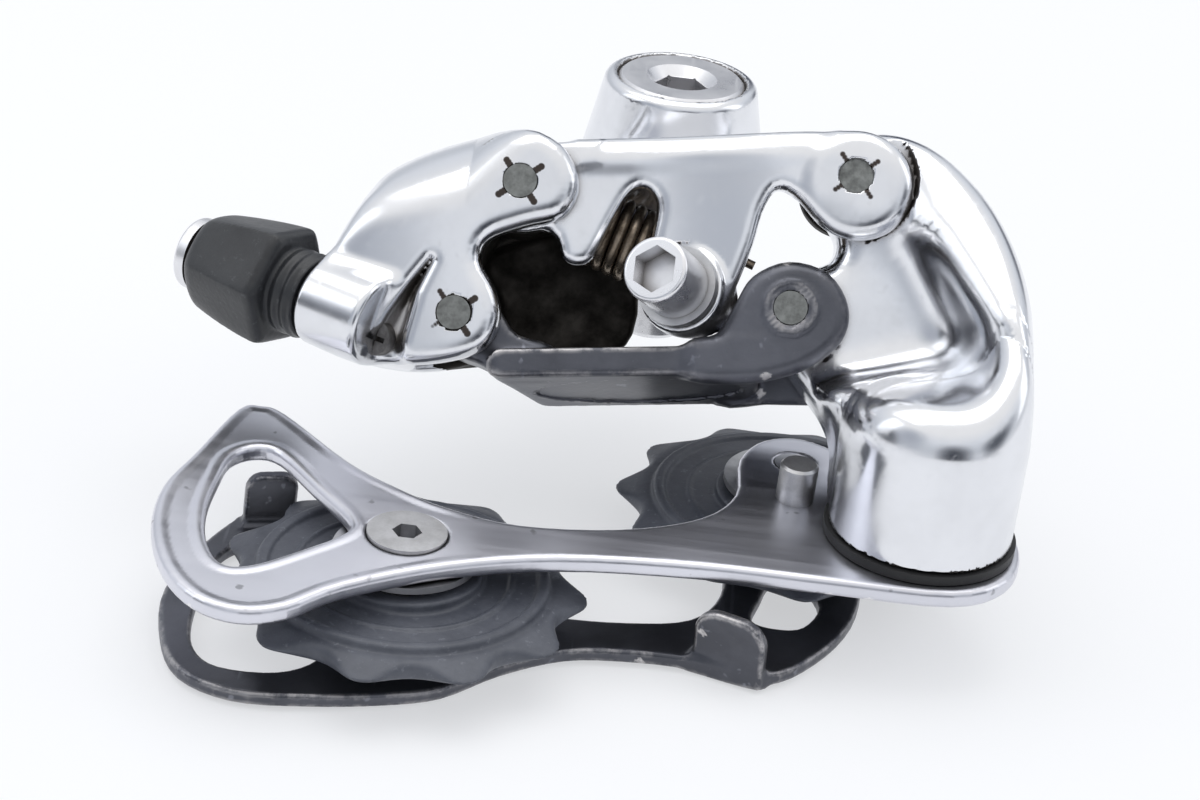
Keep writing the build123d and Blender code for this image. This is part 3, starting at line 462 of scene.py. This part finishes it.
MATERIALS = {
    "polished_alloy": polished("polished_alloy", (0.79, 0.80, 0.83), 0.15, 0.5, (A1, A2, B1)),
    "satin_alloy": brushed("satin_alloy", (0.73, 0.735, 0.795), 0.28),
    "dark_alloy": dark_coat("dark_alloy", (0.085, 0.088, 0.102), 0.3, (0.62, 0.6, 0.6)),
    "bolt_steel": polished("bolt_steel", (0.80, 0.80, 0.82), 0.25, 0.6),
    "cap_steel": plain_metal("cap_steel", (0.62, 0.62, 0.63), 0.33, 0.7, 350),
    "plate_steel": plain_metal("plate_steel", (0.55, 0.55, 0.56), 0.3),
    "pin_steel": plain_metal("pin_steel", (0.30, 0.31, 0.30), 0.48, 0.55, 700),
    "knob_resin": plastic("knob_resin", (0.012, 0.013, 0.016), 0.34, (0.07, 0.075, 0.08), 0.5),
    "sleeve_rubber": plastic("sleeve_rubber", (0.01, 0.01, 0.012), 0.6, (0.05, 0.05, 0.055), 0.6),
    "pulley_resin": plastic("pulley_resin", (0.05, 0.056, 0.073), 0.42, (0.17, 0.18, 0.21), 0.6),
    "seal_rubber": plastic("seal_rubber", (0.008, 0.008, 0.009), 0.5, (0.03, 0.03, 0.03), 0.4),
    "spring_steel": spring_metal("spring_steel", (0.36, 0.30, 0.235)),
    # painted shade: a near-black metal for inside faces that lie in shade
    "painted_shade_alloy": plain_metal("painted_shade_alloy", (0.055, 0.05, 0.045), 0.5, 0.5, 300),
    "screw_steel": plain_metal("screw_steel", (0.24, 0.23, 0.225), 0.4, 0.5, 600),
    "bearing_steel": plain_metal("bearing_steel", (0.75, 0.75, 0.77), 0.15),
    "bush_bronze": plain_metal("bush_bronze", (0.55, 0.40, 0.22), 0.35),
}
LOOKS = {sub["node"]: sub["material_slot"] for sub in frame["record"]["subparts"]}
LOOKS.update({"tension_bolt": "cap_steel", "stop_pin": "cap_steel"})
for name, look in LOOKS.items():
    NODES[name].data.materials.clear()
    NODES[name].data.materials.append(MATERIALS[look])


# ------------------------------------------------------------ upper knuckle
HUB_LOW, HUB_HIGH = 22.65, 33.25        # the link hubs between the knuckle's cheeks
MIDDLE = 27.95                          # half way between the cheeks
TUBE_AT, TUBE_TURN, TUBE_R = (-40.3, -34.0, 5.0), math.radians(151), 5.3
BOSS_LOW, BOSS_TOP = 2.7, span("mounting_bolt")[1][2]
KNUCKLE_FACE = [
    (-41.7, -11.6), (-38.2, -4.0), (-36.2, 1.0), (-33.8, 4.6), (-28.0, 8.1), (-19.8, 10.6),
    (-13.6, 9.0), (-10.9, 4.6), (-12.3, 0.5), (-16.8, -1.4), (-20.6, -3.4), (-21.3, -6.0),
    (-19.2, -9.2), (-18.2, -12.6), (-19.6, -16.2), (-23.4, -18.2), (-29.0, -19.3), (-35.4, -18.8),
    (-40.4, -16.2)]
SCREW_NOTCH = [
    (-9.4, -10.6), (-10.8, -14.4), (-11.9, -20.6), (-11.4, -27.5), (-16.4, -29.0), (-15.8, -22.0),
    (-13.9, -17.4)]
LINK_ROOM = [
    A2, (A2[0] - 17, A2[1] - 24), (40, -60), (60, 60), (A1[0] - 0.6, 24), A1]
BACK_WALL = [
    (A1[0] - 5, A1[1] + 1), (A1[0] + 4, A1[1] - 1.5), (A1[0] + 11, A1[1] - 3.5),
    (A1[0] + 15, A1[1] - 7), (A1[0] + 15.6, A2[1] + 1.5), (A1[0] + 11, A2[1] - 2.0),
    (A2[0], A2[1] - 5.0), (A2[0] - 7, A2[1])]
ARM = [
    (-3, 9.2), (-12, 6.0), (-26, -4.0), (-33, -16), (-28, -23.5), (-12, -13), (4, -8.6)]


def bracket(x, u, n):
    """The upper knuckle: its face, the arm, the boss and the adjuster's tube."""
    y, z = SIN * u - COS * n, COS * u + SIN * n
    face = curve(KNUCKLE_FACE, 4)
    d = smax(poly(x, u, face), np.abs(n - 27.2) - 9.8, 2.6)
    d = smax(d, (n - 37.0) + 0.26 * (-30.0 - x) - 0.06 * (u + 6), 2.5)
    d = smax(d, 0.62 * (n - 35.4) + 0.70 * (u - 5.2) + np.minimum(0.36 * (-x - 24), 0.8 * (-x - 24)), 3.0)
    # recess with the limit screw
    notch = poly(x, u, at(SCREW_NOTCH, A1))
    d = smax(d, -smax(notch, 33.4 - 0.22 * (u - A1[1] + 20) - n, 1.2), 1.8)
    hole = np.array(JOINTS["high_screw_turn"]["pos_m"]) / MM
    way = np.array(JOINTS["high_screw_turn"]["axis"])
    rel = (x - hole[0], y - hole[1], z - hole[2])
    t = sum(r * w for r, w in zip(rel, way))
    off = np.sqrt(np.maximum(sum(r * r for r in rel) - t * t, 0))
    d = np.maximum(d, -np.maximum(off - 2.25, 5.6 - t))
    # room for the link hubs
    hubs = np.minimum(disc(x, u, A1, 5.95), disc(x, u, A2, 5.15))
    room = poly(x, u, LINK_ROOM)
    room = np.maximum(np.minimum(hubs, room), np.abs(n - MIDDLE) - 5.4)
    d = smax(d, -room, 0.6)
    back_wall = curve(BACK_WALL, 3)
    d = smin(d, thick(poly(x, u, back_wall), n, 16.3, 18.9, 0.7), 1.5)
    arm = poly(x, y, ARM)
    arm = thick(arm, z, 7.8, 13.8, 1.5)
    arm = np.maximum(arm, -np.maximum(18.6 - n, -32 - x))
    d = smin(d, arm, 2.0)
    boss = 0.97 * (disc(x, y, (0, 0), 9.6) - 0.2 * np.clip(BOSS_TOP - z, 0, 11))
    boss = thick(boss, z, BOSS_LOW, BOSS_TOP, 1.0)
    d = smin(d, boss, 1.6)
    # the tube that holds the barrel adjuster
    ax, ay = math.cos(TUBE_TURN), math.sin(TUBE_TURN)
    dx, dy = x - TUBE_AT[0], y - TUBE_AT[1]
    along = dx * ax + dy * ay
    off = np.hypot(dx * ay - dy * ax, z - TUBE_AT[2])
    d = smax(d, np.minimum(along, 13 - off), 0.4)
    d = smin(d, thick(off - TUBE_R, along, -9.0, 0.0, 0.8), 2.0)
    # bored for the bolt, its spring and the screws
    d = np.maximum(d, -np.maximum(disc(x, y, (0, 0), 8.3), 23.0 - z))
    d = np.maximum(d, -np.maximum(disc(x, y, (0, 0), 8.4), z - 15.5))
    d = np.maximum(d, -disc(x, y, (0, 0), 5.35))
    return np.maximum(d, -np.minimum(disc(x, u, A1, 2.0), disc(x, u, A2, 2.0)))


# ------------------------------------------------------------ links
CLAMP_AT, CLAMP_WAY = (19.3, -13.1, 33.25), (-0.4027, 0.1372, 0.9063)
ARM_PLAN = [
    (-2.5, 4.8), (4.0, 5.0), (15.0, 5.2), (28.0, 5.2), (36.0, 5.2), (41.0, 5.2), (45.6, 2.6),
    (47.0, -2.0), (44.4, -6.2), (39.6, -7.0), (34.4, -3.6), (30.9, -1.3), (29.0, -3.4),
    (27.6, -7.8), (25.4, -13.0), (23.2, -16.6), (19.3, -18.3), (15.4, -16.4), (14.4, -12.0),
    (15.5, -6.5), (16.2, -2.6), (15.0, -0.8), (13.2, -1.2), (11.0, -4.6), (8.6, -8.9), (6.6, -9.8),
    (4.8, -8.9), (3.4, -5.8), (-2.5, -4.6), (-5.4, 0.0)]


def outer_arm(x, u, n):
    """The polished outer link with its cable tongue, clamp pad and ears."""
    a, b = link_axes(x, u, A1)
    plan = curve(ARM_PLAN, 4)
    level = 33.25 + 3.75 * ramp01((a - 13) / 23)
    level = level - 0.9 * ramp01((b - 1.0) / 4.5) ** 2
    outline = poly(a, b, plan)
    half = 1.3 + 0.95 * ramp01((a - 22) / 10)
    d = smax(outline, np.abs(n - level + half) - half, 1.8 + 2.0 * ramp01((a - 33) / 6))
    top = poly(a, b, [(7, 2.4), (7, 5.2), (LENGTH - 2, 5.2), (LENGTH - 2, 2.4)])
    d = smin(d, smax(thick(top, n, TAIL + 0.2, 36, 1.2), n - level, 2.2), 2.0)
    hub = thick(disc(x, u, A1, 5.6), n, HUB_LOW, HUB_HIGH, 0.5)
    nose = thick(poly(a, b, [(0, 5.0), (9.5, 5.0), (9.5, 2.4), (2, 1.0)]), n, 22.65, 33.2, 0.8)
    d = smin(smin(d, hub, 1.0), nose, 1.0)
    rear_ear = thick(disc(x, u, B1, 5.6), n, TAIL, REAR, 0.7)
    front_ear = thick(disc(x, u, (B1[0] + 0.3, B1[1] - 0.9), 6.5), n, FRONT, HEAD, 1.9)
    d = smin(d, np.minimum(rear_ear, front_ear), 1.2)
    # clamp pad, square to the leaning cable bolt
    rel = (a - CLAMP_AT[0], b - CLAMP_AT[1], n - CLAMP_AT[2])
    t = rel[0] * CLAMP_WAY[0] + rel[1] * CLAMP_WAY[1] + rel[2] * CLAMP_WAY[2]
    off = np.sqrt(np.maximum(rel[0] ** 2 + rel[1] ** 2 + rel[2] ** 2 - t * t, 0))
    d = smin(d, smax(thick(off - 5.2, t, -5.0, 1.2, 0.5), 30.9 - n, 0.6), 1.0)
    d = smax(d, -np.maximum(off - 5.6, 1.2 - t), 0.3)
    d = np.maximum(d, -np.maximum(disc(x, u, B1, 5.9), np.abs(n - MIDDLE) - 5.45))
    d = np.maximum(d, -np.maximum(disc(x, u, A1, 6.45), 33.3 - n))
    d = np.maximum(d, -np.maximum(disc(x, u, A1, 6.45), n - 22.6))
    d = np.maximum(d, -np.minimum(disc(x, u, A1, 2.05), disc(x, u, B1, 2.0)))
    return np.maximum(d, -(off - 2.5))


INNER_NECK = [
    (0, -4.8), (-4, -2.6), (-4.2, 2), (0, 4.8), (3.6, 3.2), (5.6, 0.2), (7.4, -2.4), (11.5, -3.8),
    (11.5, -7.2), (6.0, -7.2), (2.6, -5.8)]
INNER_SIDE = [
    (-12, -8.2), (-12, -3.8), (-8.7, -2.8), (-6.5, 0.6), (-4.3, 3.9), (0, 5.6), (4.7, 4.1),
    (7.0, 0), (6.0, -4.1), (1.5, -7.4), (-5, -8.8)]
INNER_TAIL = [
    (-8, -4.0), (-4.6, 3.2), (0, 5.6), (4.4, 3.4), (5.8, -1.6), (6.0, -8.6), (5.0, -10.6),
    (-2, -10.6), (-8, -10.4)]


def inner_arm(x, u, n):
    """The dark inner link: a long pan with ears at both ends."""
    a, b = link_axes(x, u, A2)
    # the long pan: its wall leans out from a narrow front ledge to a wide skirt
    lip = -4.1 - 3.2 * (HEAD - 0.4 - n) / 17.4
    skirt = -7.6 - 3.0 * (HEAD - 0.4 - n) / 17.4
    pan = smax(smax(b - lip, skirt - b, 0.8), np.maximum(TAIL - n, n - 36.6) + 0.3, 0.8)
    ends = smax(2.8 - a + 0.35 * (HEAD - n), a - (LENGTH - 3.0), 1.0)
    pan = smax(pan, ends, 2.5)
    pan = np.maximum(pan, -np.maximum(disc(x, u, A2, 6.6), 33.2 - n))
    pan = np.maximum(pan, -np.maximum(disc(x, u, A2, 6.6), n - 22.7))
    mark = np.hypot((a - 22) / 12.5, (n - 27.5) / 6.0) - 1
    pan = np.maximum(pan, -np.maximum(mark * 2.5, b - skirt - 0.3))
    neck = thick(poly(a, b, curve(INNER_NECK, 3)), n, HUB_LOW, HUB_HIGH, 1.0)
    d = smin(pan, neck, 1.5)
    c, e = a - LENGTH, b
    side = thick(poly(c, e, curve(INNER_SIDE, 4)), n, FRONT, HEAD, 1.75)
    tail = thick(poly(c, e, curve(INNER_TAIL, 3)), n, TAIL, REAR, 0.6)
    d = smin(smin(d, side, 1.5), tail, 0.8)
    d = smin(d, thick(np.abs(disc(x, u, B2, 2.9)) - 0.4, n, HEAD - 1.0, HEAD + 0.25, 0.3), 0.5)
    return np.maximum(d, -np.minimum(disc(x, u, A2, 2.05), disc(x, u, B2, 2.0)))


# ------------------------------------------------------------ lower knuckle
EASE = 0.9
AROUND = [(1, 1, 1), (1, -1, -1), (-1, 1, -1), (-1, -1, 1)]
KNUCKLE_R = (span("p_seal_ring")[1][0] - span("p_seal_ring")[0][0]) / 2 - 0.5
KNUCKLE_LOW = span("p_knuckle")[0][2]
RIGHT, NEAR = P[0] + KNUCKLE_R, P[1] - KNUCKLE_R
BLANK = [
    (19.5, 14.6), (25.6, 15.8), (30.8, 14.4), (35.6, 10.8), (39.6, 5.8), (43.2, -1.4),
    (RIGHT + 0.8, -8.4), (RIGHT + 1.8, -15.0), (RIGHT + 1.8, -24.0), (RIGHT + 1.8, -45.0),
    (30.0, -46.0), (P[0] - KNUCKLE_R, -45.0), (P[0] - KNUCKLE_R, -26.0), (22.2, -21.4),
    (20.2, -18.2), (16.4, -14.0), (11.4, -10.4), (10.4, -7.2), (12.2, -3.4), (16.8, -1.8),
    (20.0, -0.8), (20.9, 1.4), (19.6, 3.9), (16.6, 6.4), (15.9, 9.3), (16.8, 12.6)]
RIDGE = [
    (28.6, 6.0), (30.4, 2.6), (34.2, -3.2), (38.2, -9.2), (40.4, -14.6), (41.4, -22.0),
    (41.6, -44.0), (58.0, -44.0), (58, 22), (28, 24)]
PROFILE = [
    (-12.0, 27.0), (-28.6, -3.3), (-37.6, KNUCKLE_LOW), (-37.6, KNUCKLE_LOW - 5),
    (NEAR - 8, KNUCKLE_LOW - 5), (NEAR - 8, 45), (-12, 45)]


def blank(x, u, n):
    """The lower knuckle before its bores."""
    y, z = SIN * u - COS * n, COS * u + SIN * n
    outline = poly(x, u, curve(BLANK, 4))
    # the flat face, the dish under it and the crest that closes the right side
    back = np.clip((y - NEAR - 3) / (-34.0 - NEAR - 3), 0, 1)
    dish = 11.2 - back ** 1.3 * (2.4 + 0.40 * (38.5 - x))
    low_top = smin(n - FRONT + 0.15, 0.93 * (z - dish), 4.0)
    ridge = poly(x, u, curve(RIDGE, 4))
    crest = 0.92 * (z - 25.6 - 0.42 * (y + 30))
    top = smin(low_top, smax(crest, ridge, 7.0), 7.0)
    plan = np.minimum(disc(x, y, P, KNUCKLE_R), np.maximum(np.abs(x - 17) - (RIGHT - 17), P[1] - y))
    d = smax(smax(top, plan, 6.5), outline, 3.4)
    d = smax(d, poly(y, z, PROFILE), 1.2)
    return np.minimum(d, smax(disc(x, y, P, KNUCKLE_R), z - 8.0, 3.0))


def lower(x, u, n):
    """The blank, eased by averaging round each point, then bored and cut crisply."""
    y, z = SIN * u - COS * n, COS * u + SIN * n
    r = EASE
    d = sum(blank(x + i * r, u + j * r, n + k * r) for i, j, k in AROUND) / 4
    d = np.maximum(d, KNUCKLE_LOW - z)
    # hubs turn between the links' ears
    for pin, ear in ((B1, 7.6), (B2, 7.4)):
        d = np.maximum(d, -np.maximum(disc(x, u, pin, 6.2), n - REAR - 0.15))
        d = np.maximum(d, -np.maximum(disc(x, u, pin, ear), FRONT - 0.15 - n))
        d = np.maximum(d, -disc(x, u, pin, 2.05))
    return np.maximum(d, -np.maximum(disc(x, y, P, 8.8), z - 1.5))


# ------------------------------------------------------------ cage plates
OUTER_EDGE = [
    (-23.6, 25.0), (-20.9, 26.6), (-17.6, 25.2), (-8.5, 15.2), (-2.0, 10.4), (4.1, 7.2),
    (12.4, 5.3), (23.9, 7.2), (33.0, 12.0), (37.2, 19.0), (37.6, 28.0), (40.5, 33.6), (45.5, 35.2),
    (51.0, 32.0), (56.0, 26.6), (63.0, 25.2), (69.0, 20.4), (71.0, 13.6), (69.0, 6.0), (62.5, 1.4),
    (48.4, 0.9), (33.5, 0.7), (17.6, -1.4), (5.6, -5.9), (-5.2, -12.8), (-10.8, -18.6),
    (-15.8, -20.6), (-21.0, -18.8), (-25.4, -13.2), (-28.3, -4.5), (-28.7, 4.5), (-26.6, 13.0)]
WINDOW = [
    (-22.8, 7.5), (-22.2, 13.0), (-19.8, 15.8), (-16.8, 15.0), (-11.6, 8.2), (-7.2, 2.2),
    (-6.9, -1.2), (-11.2, -6.2), (-16.2, -10.8), (-19.4, -10.9), (-21.8, -6.0), (-22.9, 0.6)]
INNER_EDGE = [
    (-27.3, 0.5), (-26.0, -9.0), (-22.8, -15.9), (-16.3, -19.1), (-8.2, -18.4), (0.0, -16.4),
    (6.4, -13.6), (12.4, -7.6), (19.4, -2.8), (26.5, -1.3), (33.7, -1.2), (42.5, -2.6),
    (48.4, 3.0), (52.8, 12.0), (54.0, 22.0), (51.4, 31.0), (45.0, 35.0), (39.0, 32.0),
    (37.4, 24.0), (36.9, 14.0), (33.4, 7.6), (26.0, 5.2), (17.0, 4.6), (8.0, 6.4), (-1.0, 9.0),
    (-9.0, 14.0), (-15.5, 20.0), (-20.5, 20.0), (-24.6, 12.0)]


def outer_cheek(x, y, z):
    """The satin outer cage plate."""
    low, high = PLATE
    outline = poly(x, y, curve(at(OUTER_EDGE, T), 4))
    hole = poly(x, y, curve(at(WINDOW, T), 4))
    d = smax(outline, -hole, 0.6)
    # a shallow flat face inside a rounded raised rim
    rim = ramp01((-d - 0.9) / 1.1) * 0.28
    sunk = rim * ramp01((8.5 - (x - T[0])) / 9)
    d = smax(thick(d, z, low, high, 0.95), z - (high - sunk), 0.4)
    d = smax(d, -np.maximum(disc(x, y, T, 4.6), high - 1.6 - z), 0.5)
    d = smax(d, -np.maximum(disc(x, y, G, 2.5), low - 1 - z), 0.5)
    return np.maximum(d, -disc(x, y, P, 4.0))
LOOP = [
    (-22.8, 7.0), (-23.2, 0.0), (-22.9, -6.5), (-21.6, -11.6), (-18.4, -14.5), (-12.0, -14.2),
    (-8.0, -10.6), (-6.6, -4.0), (-6.4, 3.0), (-8.8, 8.6), (-13.4, 13.2), (-18.2, 13.6),
    (-21.2, 11.4)]
FLAPS = [         # foot from, foot to, height and corner radius
    ((33.6, -1.0), (41.6, -4.4), 8.6, 3.0),
    ((-20.6, 15.6), (-14.6, 17.4), 9.0, 2.0)]
PORT = [
    (40.8, 9.2), (41.8, 14.5), (43.2, 19.0), (46.8, 19.2), (48.8, 14.2), (46.8, 9.0), (43.6, 7.9)]


def inner_cheek(x, y, z):
    """The dark inner cage plate with its chain flaps."""
    low = INNER_LOW
    high = low + 1.7
    outline = poly(x, y, curve(at(INNER_EDGE, T), 4))
    loop = poly(x, y, curve(at(LOOP, T), 4))
    port = poly(x, y, curve(at(PORT, T), 4))
    d = smax(smax(outline, -loop, 0.5), -port, 0.5)
    d = thick(d, z, low, high, 0.5)
    for p, q, top, r in FLAPS:
        (x0, y0), (x1, y1) = at([p, q], T)
        run = math.hypot(x1 - x0, y1 - y0)
        ux, uy = (x1 - x0) / run, (y1 - y0) / run
        s = (x - (x0 + x1) / 2) * ux + (y - (y0 + y1) / 2) * uy
        w = -(x - x0) * uy + (y - y0) * ux
        h = z - low
        bow = w - 0.85 + 0.9 * ramp01((h - 1) / (top - 1)) ** 2 - 0.5
        across, tall = np.abs(s) - run / 2 + r, np.abs(h - top / 2) - top / 2 + r
        plate = np.hypot(np.maximum(across, 0), np.maximum(tall, 0)) - r
        plate = np.where(h < top / 2, np.abs(s) - run / 2, plate)
        d = smin(d, smax(np.maximum(plate, -h), np.abs(bow) - 0.8, 0.5), 1.4)
    return np.maximum(d, -np.minimum(disc(x, y, T, 2.5), disc(x, y, G, 2.5)))


# ------------------------------------------------------------ pulleys and adjuster knob
TEETH = 11
HALF_HUB = 2.9
PITCH_R = 12.7 / (2 * math.sin(math.pi / TEETH))


def toothed(axis, phase, bore):
    """A worn chain pulley: rounded teeth, a rim and rings moulded in its faces."""
    def field(x, y, z):
        dx, dy, h = x - axis[0], y - axis[1], np.abs(z - span("tension_pulley")[0][2] - HALF_HUB)
        r = np.hypot(dx, dy)
        turn = (np.degrees(np.arctan2(dy, dx)) - phase) % (360 / TEETH) - 180 / TEETH
        gap = np.hypot(r * np.cos(np.radians(turn)) - PITCH_R, r * np.sin(np.radians(turn))) - 3.9
        d = smax(smax(r - 21.6, -gap, 2.6), h - 1.15 + 0.9 * ramp01((r - 17.5) / 4), 0.8)
        d = smin(d, smax(np.abs(r - 16.1) - 0.75, h - 2.1, 0.6), 0.5)
        d = smin(d, smax(r - 15.8, h - 1.6, 0.2), 0.3)
        d = smin(d, smax(np.abs(r - 12.4) - 0.25, h - 1.85, 0.3), 0.4)
        d = smin(d, smax(r - 9.2, h - 2.85, 0.5), 0.6)
        return np.maximum(d, bore - r)

    return field


KNOB_AXIS = np.array(JOINTS["adjuster_turn"]["axis"])
KNOB_AT = np.array(JOINTS["adjuster_turn"]["pos_m"]) / MM


def knob(x, y, z):
    """The adjuster's grip: six scallops, fullest towards the bracket."""
    rel = (x - KNOB_AT[0], y - KNOB_AT[1], z - KNOB_AT[2])
    t = sum(r * w for r, w in zip(rel, KNOB_AXIS)) + 10
    p = rel[0] * KNOB_AXIS[1] - rel[1] * KNOB_AXIS[0]
    r = np.hypot(p, rel[2])
    turn = (np.degrees(np.arctan2(rel[2], p)) + 12) % 60 - 30
    body = r - 8.1 + 0.055 * np.maximum(t - 5.5, 0) ** 1.55
    flat = r * np.cos(np.radians(turn)) - 7.0 + 0.05 * np.maximum(t - 4.5, 0) ** 1.3
    d = smax(body, flat, 0.9)
    d = smax(smax(d, t - 16.9, 2.2), 4.2 - t, 1.6)
    sleeve = thick(r - 5.2 - 0.12 * np.cos(t * 4.2), t, 0.3, 7.0, 0.4)
    return np.maximum(smin(d, sleeve, 0.4), 2.9 - r)


# ------------------------------------------------------------ studio
ROOM_TONES = [        # brightness of the room by height, from the floor up
    (0.45, 0.88), (0.50, (0.74, 0.76, 0.80)), (0.60, (0.60, 0.63, 0.68)),
    (0.74, (0.80, 0.83, 0.88)), (0.90, 0.97)]
DARK_THINGS = [       # dark things round the white table: way, inner and outer angle, tone
    ((0.30, -0.95, 0.10), 7, 25, (0.035, 0.04, 0.055)),
    ((0.10, 0.97, 0.20), 5, 16, (0.07, 0.08, 0.11)),
    ((-0.93, -0.32, 0.16), 5, 21, (0.05, 0.055, 0.07)),
    ((0.90, -0.40, 0.22), 4, 17, (0.08, 0.09, 0.11)),
    ((-0.60, -0.66, 0.45), 4, 24, (0.44, 0.47, 0.53)),
    ((0.55, 0.80, 0.10), 3, 12, (0.12, 0.13, 0.16))]
FLOOR_GAP = 0.0002
CAMERA_PITCH, CAMERA_ROLL, CAMERA_LENS = 27, 7, 85.5
CAMERA_AT = (-5.35, -341.5, 152.9)


def studio():
    """A white table in a bright room, three soft lamps and the camera."""
    scene = bpy.context.scene
    scene.view_settings.view_transform = "Standard"
    floor_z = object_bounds()[0][2] - FLOOR_GAP
    mesh = bpy.data.meshes.new("floor")
    far = 3.0
    corners = [(-far, -far), (far, -far), (far, far), (-far, far)]
    mesh.from_pydata([(x, y, floor_z) for x, y in corners], [], [(0, 1, 2, 3)])
    floor = bpy.data.objects.new("floor", mesh)
    scene.collection.objects.link(floor)
    m, t, b = new_material("floor", (0.36, 0.365, 0.38), 0.8, 0.0)
    b.inputs["Emission Color"].default_value = (0.97, 0.98, 1.0, 1)
    b.inputs["Emission Strength"].default_value = 0.56
    cloud = ramp(t, noise(t, 3, 2, 0.5), [(0.3, 0.0), (0.7, 1.0)])
    t.links.new(mix(t, cloud, (0.355, 0.36, 0.37), (0.37, 0.375, 0.385)), b.inputs["Base Color"])
    mesh.materials.append(m)

    world = bpy.data.worlds.new("world")
    scene.world = world
    world.use_nodes = True
    t = world.node_tree
    back = t.nodes["Background"]
    where = t.nodes.new("ShaderNodeTexCoord")
    split = t.nodes.new("ShaderNodeSeparateXYZ")
    t.links.new(where.outputs["Generated"], split.inputs[0])
    half = t.nodes.new("ShaderNodeMath")
    half.operation = "MULTIPLY_ADD"
    half.inputs[1].default_value = 0.5
    half.inputs[2].default_value = 0.5
    t.links.new(split.outputs["Z"], half.inputs[0])
    room = ramp(t, half.outputs[0], ROOM_TONES)
    for way, inner, outer, tone in DARK_THINGS:
        dot = t.nodes.new("ShaderNodeVectorMath")
        dot.operation = "DOT_PRODUCT"
        dot.inputs[1].default_value = Vector(way).normalized()
        t.links.new(where.outputs["Generated"], dot.inputs[0])
        rim, core = math.cos(math.radians(outer)), math.cos(math.radians(inner))
        spot = ramp(t, dot.outputs["Value"], [(rim, 0.0), (core, 1.0)])
        room = mix(t, spot, room, tone)
    path = t.nodes.new("ShaderNodeLightPath")
    t.links.new(mix(t, path.outputs["Is Camera Ray"], room, (0.93, 0.94, 0.96)), back.inputs["Color"])
    back.inputs["Strength"].default_value = 1.0

    def lamp(name, place, size, power, color=(1, 1, 1)):
        data = bpy.data.lights.new(name, "AREA")
        data.shape = "RECTANGLE"
        data.size, data.size_y = size
        data.energy = power
        data.color = color
        ob = bpy.data.objects.new(name, data)
        scene.collection.objects.link(ob)
        ob.location = place
        ob.rotation_euler = (Vector((0, -0.03, 0)) - Vector(place)).to_track_quat("-Z", "Y").to_euler()

    lamp("top", (-0.05, 0.10, 0.62), (0.7, 0.5), 1.35)
    lamp("left", (-0.60, -0.12, 0.34), (0.3, 0.5), 0.4, (0.96, 0.98, 1.0))
    lamp("right", (0.60, 0.05, 0.30), (0.25, 0.45), 0.3, (1.0, 0.99, 0.97))

    pitch, roll = math.radians(CAMERA_PITCH), math.radians(CAMERA_ROLL)
    right = Vector((math.cos(roll), math.sin(roll) * math.sin(pitch), math.sin(roll) * math.cos(pitch)))
    up = Vector((-math.sin(roll), math.cos(roll) * math.sin(pitch), math.cos(roll) * math.cos(pitch)))
    ahead = Vector((0, math.cos(pitch), -math.sin(pitch)))
    data = bpy.data.cameras.new("camera")
    data.sensor_width = 36
    data.lens = CAMERA_LENS
    data.clip_start = 0.01
    cam = bpy.data.objects.new("camera", data)
    scene.collection.objects.link(cam)
    turn = Matrix((right, up, -ahead)).transposed().to_4x4()
    cam.matrix_world = Matrix.Translation(Vector(CAMERA_AT) * MM) @ turn
    scene.camera = cam


def knuckle_inside(x, u, n):
    """Faces of the upper knuckle that look into the parallelogram; they get painted shade, near black, which also
    stands for the inner link's dark web.
    """
    return (x > A2[0] - 2.5) & (u < A1[1] + 1) & (u > A2[1] - 6) & (n > 16) & (n < 32.6)


def arm_inside(x, u, n):
    """Faces of the outer link that look at the spring; they get painted shade, near black."""
    a, b = link_axes(x, u, A1)
    return (n < 30.85) & (b < 4.7) & (np.hypot(x - B1[0], u - B1[1]) > 5.3) & (n > TAIL + 0.3)


# the last column picks the faces that get painted shade
for label, field, node, body, slot, step, painted_shade in (
        ("upper_knuckle", bracket, "bracket_body", "bracket", "polished_alloy", 0.40, knuckle_inside),
        ("outer_arm_shell", outer_arm, "outer_link", "outer_arm", "polished_alloy", 0.38, arm_inside),
        ("inner_arm_shell", inner_arm, "inner_link", "inner_arm", "dark_alloy", 0.42, None),
        ("lower_knuckle_shell", lower, "p_knuckle", "lower_knuckle", "polished_alloy", 0.42, None)):
    low, high = pin_box(node)
    carve(label, field, low, high, step, True, body, node, MATERIALS[slot], painted_shade)
for label, field, node, slot, step in (
        ("outer_cheek", outer_cheek, "outer_plate", "satin_alloy", 0.35),
        ("inner_cheek", inner_cheek, "inner_plate", "dark_alloy", 0.35)):
    low, high = span(node)
    carve(label, field, low - 1, high + 1, step, False, "cage", node, MATERIALS[slot])

for label, node, body, axis, phase, bore in (
        ("guide_wheel_shape", "guide_pulley", "guide_wheel", G, -52.0, 5.25),
        ("tension_wheel_shape", "tension_pulley", "tension_wheel", T, 2.0, 7.0)):
    low, high = span(node)
    carve(label, toothed(axis, phase, bore), low - 1, high + 1, 0.35, False, body,
          node, MATERIALS["pulley_resin"])
low, high = span("adjuster_knob")
carve("adjuster_grip", knob, low - 1.5, high + 1.5, 0.32, False, "adjuster",
      "adjuster_knob", MATERIALS["knob_resin"])

studio()
